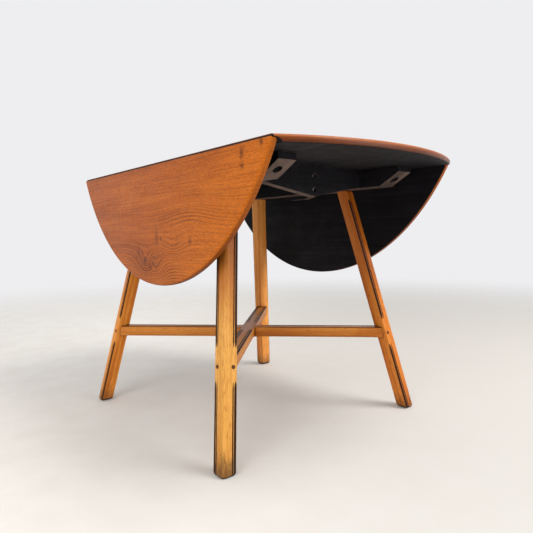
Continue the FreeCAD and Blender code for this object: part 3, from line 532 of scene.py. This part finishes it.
def pale_wood(name, shades, origin, axes, grime, painted_top_shade):
    """Beech of the legs and stretchers; the last of the axes runs along the grain.

    Grime is how dirty the foot is, and the last argument how far the wood darkens towards the top with
    painted shade, where the leaf and the top shade it.
    """
    graph = Graph(name)
    light, middle, dark = shades
    place = graph.turned(graph.place(), origin, axes)
    along = graph.axes(place)[2]
    band = graph.noise(place, BEECH_BAND_SCALE, 3.0, 0.5, 0.3)
    cloud = graph.noise(place, BEECH_CLOUD_SCALE, 3.0)
    fleck = graph.noise(place, BEECH_FLECK_SCALE, 3.0)
    mark = graph.noise(place, BEECH_MARK_SCALE, 2.0)
    colour = graph.colours(band, ((0.32, dark), (0.50, middle), (0.66, light)))
    colour = graph.blend(graph.ramp(cloud, 0.42, 0.68, 0.0, 0.55), colour, light)
    colour = graph.blend(graph.ramp(cloud, 0.50, 0.30, 0.0, 0.55), colour, dark)
    colour = graph.blend(graph.ramp(fleck, 0.50, 0.68, 0.0, 0.60), colour, dark)
    colour = graph.blend(graph.ramp(mark, 0.72, 0.80, 0.0, 0.55), colour, BEECH_MARK)
    # Painted shade: the leg darkens towards its top, under the leaf and the top.
    if painted_top_shade:
        colour = graph.blend(graph.ramp(along, *TOP_SHADE_LEVELS, 0.0, painted_top_shade), colour, BEECH_PAINTED_SHADE)
    edge, rounded = graph.edge(BEECH_EDGE_WEAR)
    handled = graph.times(edge, graph.ramp(mark, 0.30, 0.60, 0.25, 0.65))
    colour = graph.blend(handled, colour, HANDLED_EDGE)
    groove = graph.node("Attribute", {}, attribute_name="groove").outputs["Fac"]
    colour = graph.blend(graph.ramp(groove, 0.06, 0.40), colour, GROOVE_STAIN)
    # Dirt and painted shade in the joints, where the surroundings close in.
    dirt_and_shade = graph.crevice(JOINT_DIRT_AND_SHADE_REACH)
    colour = graph.blend(graph.times(dirt_and_shade, 0.75), colour, JOINT_DIRT_AND_SHADE)
    if grime:
        patch = graph.noise(place, GRIME_SCALE, 5.0, 0.7)
        level = graph.minus(along, graph.times(patch, GRIME_REACH))
        colour = graph.blend(graph.ramp(level, *GRIME_LEVELS, grime, 0.0), colour, FOOT_GRIME)
        sole = graph.ramp(graph.facing((0, 0, -1)), 0.25, 0.6, 0.0, 0.8)
        colour = graph.blend(sole, colour, SOLE_GRIME)
    rough = graph.ramp(cloud, 0.3, 0.7, 0.34, 0.48)
    height = graph.minus(graph.times(band, 0.4), graph.times(fleck, 0.4))
    return graph.finish(Base_Color=colour, Roughness=rough, Specular_IOR_Level=BEECH_SPECULAR,
                        Normal=graph.bump(height, GRAIN_DEPTH, GRAIN_STRENGTH, rounded))


PEG_SHADES = ((0.3, tone(56, 27, 11)), (0.55, tone(98, 52, 22)), (0.75, tone(150, 90, 42)))
PEG_SPECULAR = 0.2


def peg_wood():
    """End grain of the dark pegs."""
    graph = Graph("peg_wood")
    ring = graph.noise(graph.place(), 500.0, 3.0)
    colour = graph.colours(ring, PEG_SHADES)
    return graph.finish(Base_Color=colour, Roughness=graph.ramp(ring, 0.3, 0.7, 0.5, 0.7),
                        Normal=graph.bump(ring, 0.0004, 0.5), Specular_IOR_Level=PEG_SPECULAR)


SCRATCH_SCALE = (900.0, 90.0, 900.0)
SCRATCH_DEPTH = 0.0001
METALLIC = 0.9
# How much rougher the metal is in its dull patches.
DULL_ROUGHER = 0.2


def metal(name, bright, dull, rough):
    """Worn metal with dull patches."""
    graph = Graph(name)
    place = graph.place()
    patch = graph.noise(place, 160.0, 5.0, 0.65)
    scratch = graph.noise(place, SCRATCH_SCALE, 2.0)
    colour = graph.colours(patch, ((0.35, dull), (0.65, bright)))
    return graph.finish(Base_Color=colour, Metallic=METALLIC,
                        Roughness=graph.ramp(patch, 0.3, 0.7, rough + DULL_ROUGHER, rough),
                        Normal=graph.bump(scratch, SCRATCH_DEPTH, 0.4))


# Beech of each leg and of the stretchers: light, middle and dark. The legs are one beech in lit and shaded
# copies: the front left and far right legs are painted lighter as painted light, and the front right leg
# darker as painted shade.
PAINTED_LIT_LEG = (tone(232, 172, 90), tone(216, 151, 66), tone(174, 102, 36))
WARM_LEG = (tone(218, 133, 52), tone(198, 110, 36), tone(158, 78, 22))
REAR_LEG = (tone(240, 160, 70), tone(222, 138, 50), tone(186, 102, 32))
PAINTED_LIT_FAR_LEG = (tone(250, 174, 92), tone(238, 154, 70), tone(206, 120, 48))
STRETCHER_SHADES = (tone(210, 138, 62), tone(194, 114, 40), tone(162, 88, 28))
# Pale tone on the faces turned down, of the frame and of the brackets: bare wood where the stain has worn
# off, and a painted reflection of the pale floor.
FRAME_WEAR_AND_SHEEN = tone(120, 100, 90)
BRACKET_WEAR_AND_SHEEN = tone(142, 118, 108)


def build_materials():
    return {
        "center": elm_board("elm_center", "", boards=CENTER_BOARDS),
        "left_leaf": elm_board("elm_left_leaf", "left", LEFT_LEAF_DIPS, LEFT_LEAF_RINGS, LEFT_LEAF_TRACES),
        "right_leaf": elm_board("elm_right_leaf", "right", boards=RIGHT_LEAF_BOARDS),
        "black": black_wood("black_wood", FRAME_WEAR_AND_SHEEN),
        "rail": black_wood("rail_wood", FRAME_WEAR_AND_SHEEN, RAIL_GRAIN),
        "bracket": black_wood("bracket_wood", BRACKET_WEAR_AND_SHEEN),
        "peg": peg_wood(),
        "hinge": metal("hinge_steel", tone(92, 88, 84), tone(48, 44, 42), 0.38),
        "screw": metal("screw_steel", tone(206, 204, 200), tone(140, 134, 126), 0.26),
    }


materials = build_materials()


def dress(name, material):
    item = nodes[name]
    item.data.materials.clear()
    item.data.materials.append(material)


def dress_frame():
    dress("center_panel", materials["center"])
    for side in ("left", "right"):
        dress(side + "_leaf", materials[side + "_leaf"])
    for name in nodes:
        if name.endswith(("_bearer", "_rail_block")):
            dress(name, materials["black"])
        elif name.endswith("_cross_rail"):
            dress(name, materials["rail"])
        elif name.endswith(("_bracket_arm", "_bracket_block")):
            dress(name, materials["bracket"])
        elif name.endswith(("_flap", "_hinge_pin", "_bracket_pin")):
            dress(name, materials["hinge"])
    dress("stretcher_pegs", materials["peg"])


# Meshes

# Edges bent by more than this are sharp.
SHARP_ANGLE = math.radians(38)


def new_piece(name, lofts, material, marks=None):
    """A piece of closed lofts through rings of points; marks say how deep each point is in a groove."""
    points = []
    faces = []
    for rings in lofts:
        count = len(rings[0])
        first = len(points)
        points += [point for ring in rings for point in ring]
        for level in range(len(rings) - 1):
            low = first + level * count
            for index in range(count):
                after = (index + 1) % count
                faces.append((low + index, low + after, low + count + after, low + count + index))
        faces.append(tuple(reversed(range(first, first + count))))
        faces.append(tuple(range(len(points) - count, len(points))))
    mesh = bpy.data.meshes.new(name)
    mesh.from_pydata(points, [], faces)
    if marks:
        mesh.attributes.new("groove", "FLOAT", "POINT").data.foreach_set("value", marks)
    shape = bmesh.new()
    shape.from_mesh(mesh)
    bmesh.ops.recalc_face_normals(shape, faces=shape.faces)
    shape.to_mesh(mesh)
    shape.free()
    mesh.shade_smooth()
    mesh.set_sharp_from_angle(angle=SHARP_ANGLE)
    mesh.materials.append(material)
    piece = bpy.data.objects.new(name, mesh)
    bpy.context.scene.collection.objects.link(piece)
    return piece


def arc(center, radius, start, end, steps):
    """Points on an arc, angles in degrees."""
    points = []
    for step in range(steps + 1):
        angle = math.radians(start + (end - start) * step / steps)
        points.append((center[0] + radius * math.cos(angle), center[1] + radius * math.sin(angle)))
    return points


# Half widths and depths across a groove, as shares.
GROOVE_SHAPE = ((-1.0, 0.0), (-0.72, 0.85), (0.0, 1.0), (0.72, 0.85), (1.0, 0.0))
# A groove's least width at its end, how soon its mark is full there, and how blunt the end is.
GROOVE_LEAST_SHARE = 0.03
GROOVE_MARK_GAIN = 3
GROOVE_END_POWER = 0.6
# Rings through a groove's end, as shares of its run-out.
RUN_OUT_STEPS = (0, 0.1, 0.25, 0.45, 0.7, 1.0)
# Mark of the arris beside a leg's grooves, and points round an arris and the outer corner.
ARRIS_MARK = 0.7
ARRIS_STEPS = 3
CORNER_STEPS = 10


def groove_points(share):
    """Points across both grooves beside an edge: distance from the edge, depth and mark."""
    points = []
    mark = min(1.0, share * GROOVE_MARK_GAIN)
    for start, end, depth in GROOVES:
        middle = (start + end) / 2
        half = (end - start) / 2 * max(share, GROOVE_LEAST_SHARE)
        for across, down in GROOVE_SHAPE:
            points.append((middle + across * half, depth * down * share, down * mark))
    return points


def run_out(distance):
    """0 at a groove's end and 1 past its run-out."""
    return min(1.0, max(0.0, distance / GROOVE_RUN_OUT)) ** GROOVE_END_POWER


def leg_section(share):
    """Outline of a leg, outer corner at +,+, with the groove marks."""
    half = LEG_HALF
    flat = half - ARRIS
    grooves = groove_points(share)
    arris_mark = ARRIS_MARK * share
    outline = [(point, 0.0) for point in arc((-flat, -flat), ARRIS, 180, 270, ARRIS_STEPS)]
    outline.append(((flat - ARRIS, -half), 0.0))
    outline += [(point, arris_mark) for point in arc((flat, -flat), ARRIS, 270, 360, ARRIS_STEPS)]
    outline += [((half - down, away - half), mark) for away, down, mark in grooves]
    middle = half - LEG_CORNER_ROUND
    outline += [(point, 0.0) for point in arc((middle, middle), LEG_CORNER_ROUND, 0, 90, CORNER_STEPS)]
    outline += [((away - half, half - down), mark) for away, down, mark in reversed(grooves)]
    outline += [(point, arris_mark) for point in arc((-flat, flat), ARRIS, 90, 180, ARRIS_STEPS)]
    outline.append(((-half, flat - ARRIS), 0.0))
    return outline


# Levels of the foot's rounded chamfer, and how far each is drawn in.
FOOT_CHAMFER = ((0.0, 0.0062), (0.0012, 0.0042), (0.0034, 0.0018), (0.0064, 0.0004), (0.0085, 0.0))
LEG_RING_STEP = 0.012


def leg_stations():
    """Levels of a leg's rings, with how far each is drawn in at the foot and its groove share."""
    joint = STRETCHER_MIDDLE + GROOVE_JOINT_RISE
    stops = (joint - GROOVE_JOINT_STOP, joint + GROOVE_JOINT_STOP, BEARER_BOTTOM - GROOVE_TOP_STOP)
    insets = dict(FOOT_CHAMFER)
    levels = list(insets)
    chamfer_top = levels[-1]
    count = int((BEARER_BOTTOM - chamfer_top) / LEG_RING_STEP)
    levels += [chamfer_top + LEG_RING_STEP * index for index in range(1, count)]
    for stop in stops:
        levels += [stop - GROOVE_RUN_OUT * share for share in RUN_OUT_STEPS[1:]]
        levels += [stop + GROOVE_RUN_OUT * share for share in RUN_OUT_STEPS]
    levels.append(BEARER_BOTTOM)
    stations = []
    for level in sorted(levels):
        if level <= stops[0]:
            share = run_out(stops[0] - level)
        elif level >= stops[1]:
            share = min(run_out(level - stops[1]), run_out(stops[2] - level))
        else:
            share = 0.0
        stations.append((level, insets.get(level, 0.0), share))
    return stations


# Each leg's shades, which are lit and shaded copies of one beech, foot grime and painted shade towards the
# top.
LEG_LOOKS = {
    "front_left": (PAINTED_LIT_LEG, 0.72, 0.75),
    "front_right": (WARM_LEG, 0.50, 0.40),
    "rear_left": (REAR_LEG, 0.50, 0.0),
    "rear_right": (PAINTED_LIT_FAR_LEG, 0.50, 0.0),
}


def grain_axes(grain):
    """Three square axes, the last one along the grain."""
    turn = grain.to_track_quat("Z", "Y").to_matrix()
    return [tuple(turn.col[index]) for index in range(3)]


def build_legs():
    for place, signs in LEG_SIDES.items():
        foot = Vector((FOOT.x * signs[0], FOOT.y * signs[1], 0))
        top = Vector((LEG_TOP.x * signs[0], LEG_TOP.y * signs[1], BEARER_BOTTOM))
        rings = []
        marks = []
        for level, inset, share in leg_stations():
            middle = foot.lerp(top, level / BEARER_BOTTOM)
            drawn = (LEG_HALF - inset) / LEG_HALF
            ring = []
            for (across, along), mark in leg_section(share):
                ring.append(middle + Vector((across * signs[0] * drawn, along * signs[1] * drawn, 0)))
                marks.append(mark)
            rings.append(ring)
        shades, grime, painted_top_shade = LEG_LOOKS[place]
        material = pale_wood("leg_" + place, shades, foot, grain_axes(top - foot), grime, painted_top_shade)
        leg = new_piece(place + "_leg_wood", [rings], material, marks)
        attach(leg, "frame_body")
        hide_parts(place + "_leg")


def stretcher_section(half_width, half, share, chamfer):
    """Outline across a stretcher: (aside, up), grooved beside the upper edges, chamfered below."""
    low = max(chamfer, ARRIS)
    side = half_width - ARRIS
    top = half - ARRIS
    grooves = groove_points(share)
    outline = [((half_width, low - half), 0.0)]
    outline += [(point, 0.0) for point in arc((side, top), ARRIS, 0, 90, ARRIS_STEPS)]
    outline += [((half_width - away, half - down), mark) for away, down, mark in grooves]
    outline += [((away - half_width, half - down), mark) for away, down, mark in reversed(grooves)]
    outline += [(point, 0.0) for point in arc((-side, top), ARRIS, 90, 180, ARRIS_STEPS)]
    outline.append(((-half_width, low - half), 0.0))
    outline.append(((low - half_width, -half), 0.0))
    outline.append(((half_width - low, -half), 0.0))
    return outline


# Chamfer under a bar: its size, where it stops from the crossing and from the leg, and its run.
LOWER_CHAMFER = 0.0045
CHAMFER_STOP = 0.030
CHAMFER_LEG_STOP = 0.014
CHAMFER_RUN = 0.016
# The cross bar is thinned inside the main one, where the two are lapped.
LAP_REACH = 0.0185
LAP_EASE = 0.0004
LAP_THINNING = 0.0008
# Rounded end of a bar: where it starts before the leg, how far it goes on, and its loss aside and up.
END_ROUND_START = 0.007
END_ROUND_MOST = 1.5
END_ROUND_ASIDE = 0.0016
END_ROUND_UP = 0.0011
# Rings along a bar: beside the crossing, before the grooves, evenly along it, and from the leg's face.
CROSSING_RINGS = (0.0, LAP_REACH, LAP_REACH + LAP_EASE, 0.030, 0.038, 0.046)
BEFORE_GROOVE_SHARE = 0.3
FIRST_EVEN_RING = 0.085
EVEN_RING_STEP = 0.018
EVEN_RINGS = 16
LEG_FACE_RINGS = (-0.030, -0.022, -0.014, -0.007, -0.004, -0.002, 0.0, 0.003)


def build_stretchers():
    joint = Vector((FOOT.x, FOOT.y)).lerp(LEG_TOP, STRETCHER_MIDDLE / BEARER_BOTTOM)
    reach = joint.length
    # Where a side of the bar runs into the leg's inner face.
    meet = reach - (LEG_HALF * math.sqrt(2) - STRETCHER_HALF_WIDTH)
    steps = {reach, GROOVE_CROSSING_STOP - GROOVE_RUN_OUT * BEFORE_GROOVE_SHARE}
    steps.update(CROSSING_RINGS)
    steps.update(GROOVE_CROSSING_STOP + GROOVE_RUN_OUT * share for share in RUN_OUT_STEPS)
    steps.update(FIRST_EVEN_RING + EVEN_RING_STEP * index for index in range(EVEN_RINGS))
    steps.update(meet + step for step in LEG_FACE_RINGS)
    steps = sorted(steps)
    alongs = [-step for step in reversed(steps) if step > 0] + steps
    # Each bar runs to a leg on the right, and as far the other way.
    for label, place in (("main", "rear_right"), ("cross", "front_right")):
        signs = LEG_SIDES[place]
        ahead = Vector((joint.x * signs[0], joint.y * signs[1], 0)).normalized()
        aside = Vector((-ahead.y, ahead.x, 0))
        rings = []
        marks = []
        for along in alongs:
            distance = abs(along)
            share = run_out(distance - GROOVE_CROSSING_STOP)
            start = (distance - CHAMFER_STOP) / CHAMFER_RUN
            stop = (meet - CHAMFER_LEG_STOP - distance) / CHAMFER_RUN
            chamfer = LOWER_CHAMFER * max(0.0, min(1.0, start, stop))
            late = max(0.0, distance - meet + END_ROUND_START) / END_ROUND_START
            late = min(late, END_ROUND_MOST)
            half_width = STRETCHER_HALF_WIDTH - END_ROUND_ASIDE * late ** 2
            half_height = STRETCHER_HALF_HEIGHT - END_ROUND_UP * late ** 2
            if label == "cross" and distance <= LAP_REACH:
                half_height -= LAP_THINNING
            ring = []
            for (across, up), mark in stretcher_section(half_width, half_height, share, chamfer):
                ring.append(ahead * along + aside * across + Vector((0, 0, STRETCHER_MIDDLE + up)))
                marks.append(mark)
            rings.append(ring)
        middle = (0, 0, STRETCHER_MIDDLE)
        material = pale_wood("stretcher_" + label, STRETCHER_SHADES, middle, grain_axes(ahead), 0.0, 0.0)
        bar = new_piece(label + "_stretcher_wood", [rings], material, marks)
        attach(bar, "frame_body")
        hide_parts(label + "_stretcher")


# Screws: slot, thread pitch, and heights of a countersunk head, a pan head and its rounded edge.
SLOT_WIDTH = 0.0011
SLOT_DEPTH = 0.0011
THREAD_PITCH = 0.0015
COUNTERSUNK_HEIGHT = 0.002
PAN_HEIGHT = 0.003
PAN_EDGE = 0.0018
# Thread: from the head to its start, from its end to the tip, and its root as a share of the shank.
THREAD_START = 0.003
THREAD_END = 0.004
THREAD_ROOT = 0.84
# Tip: its length, and its start and end as shares of the shank.
TIP_LENGTH = 0.003
TIP_START = 0.8
TIP_END = 0.12
# Points round a screw and round half a head, and turns of the first slot and between slots.
SCREW_STEPS = 24
HALF_HEAD_STEPS = 16
FIRST_SLOT_TURN = 0.4
SLOT_TURN = 0.9
# Points this close are one point, and points this close to an end lie in its face.
WELD_DISTANCE = 1e-6
FACE_DISTANCE = 1e-5
# Shares of the head's radius up the two domed halves beside a pan head's slot.
DOME = ((1.0, 0.97), (0.55, 0.90), (0.2, 0.78), (0.0, 0.60))


def solids_of(item):
    """The separate solids of a node, each as its points."""
    shape = bmesh.new()
    shape.from_mesh(item.data)
    bmesh.ops.remove_doubles(shape, verts=shape.verts, dist=WELD_DISTANCE)
    left = set(shape.verts)
    solids = []
    # In the order of the mesh, so that every run takes the solids alike.
    for first in shape.verts:
        if first not in left:
            continue
        left.remove(first)
        heap = [first]
        found = []
        while heap:
            vert = heap.pop()
            found.append(item.matrix_world @ vert.co)
            near = {edge.other_vert(vert) for edge in vert.link_edges} & left
            left -= near
            heap += near
        solids.append(found)
    shape.free()
    return solids


def screw_sizes(points):
    """Head place, direction to the tip, length, head radius and shank radius of a screw."""
    low = Vector([min(point[axis] for point in points) for axis in range(3)])
    high = Vector([max(point[axis] for point in points) for axis in range(3)])
    middle = (low + high) / 2
    long_axis = max(range(3), key=lambda axis: high[axis] - low[axis])
    along = Vector([1.0 if axis == long_axis else 0.0 for axis in range(3)])
    length = high[long_axis] - low[long_axis]
    radii = []
    for sign in (-1, 1):
        radii.append(max((point - middle - along * (point - middle).dot(along)).length for point in points
                         if abs((point - middle).dot(along) * sign - length / 2) < FACE_DISTANCE))
    inward = along if radii[0] > radii[1] else -along
    return middle - inward * length / 2, inward, length, max(radii), min(radii)


def screw_lofts(points, turn, countersunk):
    """A slotted screw in the place of a plain one."""
    head, inward, length, head_radius, shank_radius = screw_sizes(points)
    side = inward.orthogonal().normalized()
    other = inward.cross(side)
    across = side * math.cos(turn) + other * math.sin(turn)
    along = inward.cross(across)

    def ring(depth, radius, start=0.0, end=360.0, steps=SCREW_STEPS):
        middle = head + inward * depth
        return [middle + across * x + along * y for x, y in arc((0, 0), radius, start, end, steps)]

    if countersunk:
        head_height = COUNTERSUNK_HEIGHT
        slope = (head_radius - shank_radius) / head_height
        neck = [(SLOT_DEPTH, head_radius - slope * SLOT_DEPTH)]
        caps = [(SLOT_DEPTH, neck[0][1]), (0.0, head_radius)]
    else:
        head_height = PAN_HEIGHT
        neck = [(SLOT_DEPTH, head_radius * DOME[0][1]), (PAN_EDGE, head_radius), (head_height, head_radius)]
        caps = [(share * SLOT_DEPTH, radius * head_radius) for share, radius in DOME]
    body = neck + [(head_height, shank_radius)]
    depth = head_height + THREAD_START
    while depth < length - THREAD_END:
        body += [(depth, shank_radius), (depth + THREAD_PITCH / 2, shank_radius * THREAD_ROOT)]
        depth += THREAD_PITCH
    body += [(length - TIP_LENGTH, shank_radius * TIP_START), (length, shank_radius * TIP_END)]
    lofts = [[ring(depth, radius)[:-1] for depth, radius in body]]
    for half in (0.0, 180.0):
        rings = []
        for depth, radius in caps:
            edge = math.degrees(math.asin(SLOT_WIDTH / 2 / radius))
            rings.append(ring(depth, radius, half + edge, half + 180 - edge, HALF_HEAD_STEPS))
        lofts.append(rings)
    return lofts


def build_screws():
    for name in [name for name in nodes if name.endswith("_screws")]:
        lofts = []
        for index, points in enumerate(solids_of(nodes[name])):
            lofts += screw_lofts(points, FIRST_SLOT_TURN + index * SLOT_TURN, "hinge" in name)
        screws = new_piece(name + "_slotted", lofts, materials["screw"])
        leaf = name.split("_")[0] + "_leaf_body"
        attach(screws, leaf if "leaf_hinge" in name else "frame_body")
        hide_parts(name)


# Stage

# Plain floor: its size, where it fades into the background, and its shades to the photo's left and right.
FLOOR_RADIUS = 7.0
FLOOR_SIDES = 96
FLOOR_FADE = (1.5, 4.5)
FLOOR_PAINTED_LIGHT = tone(238, 234, 228)
FLOOR_PAINTED_SHADE = tone(204, 200, 194)
FLOOR_SPECK = tone(206, 198, 188)
PHOTO_RIGHT = (0.775, -0.632, 0)
BACKGROUND_TONE = tone(238, 238, 240)
WORLD_STRENGTH = 0.72
# Lamps: name, place, where they point, size and power.
LAMPS = (
    ("window", (-3.0, -1.6, 2.4), (0, 0, 0.45), 2.4, 46),
    ("room", (1.7, -3.1, 2.2), (0, 0, 0.45), 2.4, 62),
    ("ceiling", (0.9, -1.3, 3.2), (0, 0, 0.6), 1.4, 45),
)


def build_floor():
    mesh = bpy.data.meshes.new("floor")
    shape = bmesh.new()
    bmesh.ops.create_circle(shape, cap_ends=True, radius=FLOOR_RADIUS, segments=FLOOR_SIDES)
    shape.to_mesh(mesh)
    shape.free()
    floor = bpy.data.objects.new("floor", mesh)
    bpy.context.scene.collection.objects.link(floor)
    graph = Graph("floor")
    place = graph.place()
    speck = graph.noise(place, 9.0, 6.0, 0.6)
    # Painted light and shade: the floor is painted lighter to the left and darker to the right.
    colour = graph.blend(graph.ramp(graph.dot(place, PHOTO_RIGHT), -1.0, 1.0), FLOOR_PAINTED_LIGHT, FLOOR_PAINTED_SHADE)
    colour = graph.blend(graph.ramp(speck, 0.3, 0.7, 0.0, 0.2), colour, FLOOR_SPECK)
    graph.finish(Base_Color=colour, Roughness=0.75, Specular_IOR_Level=0.2)
    far = graph.node("VectorMath", {0: place}, operation="LENGTH").outputs["Value"]
    clear = graph.node("BsdfTransparent", {})
    fade = graph.node("MixShader", {0: graph.ramp(far, *FLOOR_FADE)})
    graph.tree.links.new(graph.shader.outputs[0], fade.inputs[1])
    graph.tree.links.new(clear.outputs[0], fade.inputs[2])
    output = graph.tree.nodes["Material Output"]
    graph.tree.links.new(fade.outputs[0], output.inputs["Surface"])
    mesh.materials.append(graph.material)


def build_world():
    world = bpy.data.worlds.new("studio")
    world.use_nodes = True
    bpy.context.scene.world = world
    tree = world.node_tree
    light = tree.nodes["Background"]
    light.inputs["Color"].default_value = (1.0, 1.0, 1.0, 1.0)
    light.inputs["Strength"].default_value = WORLD_STRENGTH
    seen = tree.nodes.new("ShaderNodeBackground")
    seen.inputs["Color"].default_value = BACKGROUND_TONE
    path = tree.nodes.new("ShaderNodeLightPath")
    rays = path.outputs["Is Camera Ray"]
    for name in ("Is Glossy Ray", "Is Transmission Ray"):
        either = tree.nodes.new("ShaderNodeMath")
        either.operation = "MAXIMUM"
        tree.links.new(rays, either.inputs[0])
        tree.links.new(path.outputs[name], either.inputs[1])
        rays = either.outputs[0]
    mix = tree.nodes.new("ShaderNodeMixShader")
    tree.links.new(rays, mix.inputs[0])
    tree.links.new(light.outputs[0], mix.inputs[1])
    tree.links.new(seen.outputs[0], mix.inputs[2])
    tree.links.new(mix.outputs[0], tree.nodes["World Output"].inputs["Surface"])


def add_lamp(name, place, target, size, power):
    lamp = bpy.data.lights.new(name, "AREA")
    lamp.shape = "DISK"
    lamp.size = size
    lamp.energy = power
    item = bpy.data.objects.new(name, lamp)
    item.location = place
    item.rotation_euler = (Vector(target) - Vector(place)).to_track_quat("-Z", "Y").to_euler()
    bpy.context.scene.collection.objects.link(item)


def build_camera():
    data = bpy.data.cameras.new("photo_camera")
    data.sensor_width = SENSOR
    data.lens = SENSOR * PHOTO_FOCAL / PHOTO_SIDE
    camera = bpy.data.objects.new("photo_camera", data)
    flat = math.cos(CAMERA_PITCH)
    ahead = Vector((math.sin(CAMERA_YAW) * flat, math.cos(CAMERA_YAW) * flat, -math.sin(CAMERA_PITCH)))
    level = Vector((math.cos(CAMERA_YAW), -math.sin(CAMERA_YAW), 0))
    down = ahead.cross(level)
    right = level * math.cos(CAMERA_ROLL) + down * math.sin(CAMERA_ROLL)
    turned = down * math.cos(CAMERA_ROLL) - level * math.sin(CAMERA_ROLL)
    camera.matrix_world = Matrix((
        (right.x, -turned.x, -ahead.x, CAMERA_PLACE.x),
        (right.y, -turned.y, -ahead.y, CAMERA_PLACE.y),
        (right.z, -turned.z, -ahead.z, CAMERA_PLACE.z),
        (0, 0, 0, 1)))
    bpy.context.scene.collection.objects.link(camera)
    bpy.context.scene.camera = camera


dress_frame()
build_legs()
build_stretchers()
build_screws()
build_floor()
build_world()
for lamp in LAMPS:
    add_lamp(*lamp)
build_camera()
bpy.context.scene.view_settings.view_transform = "Standard"
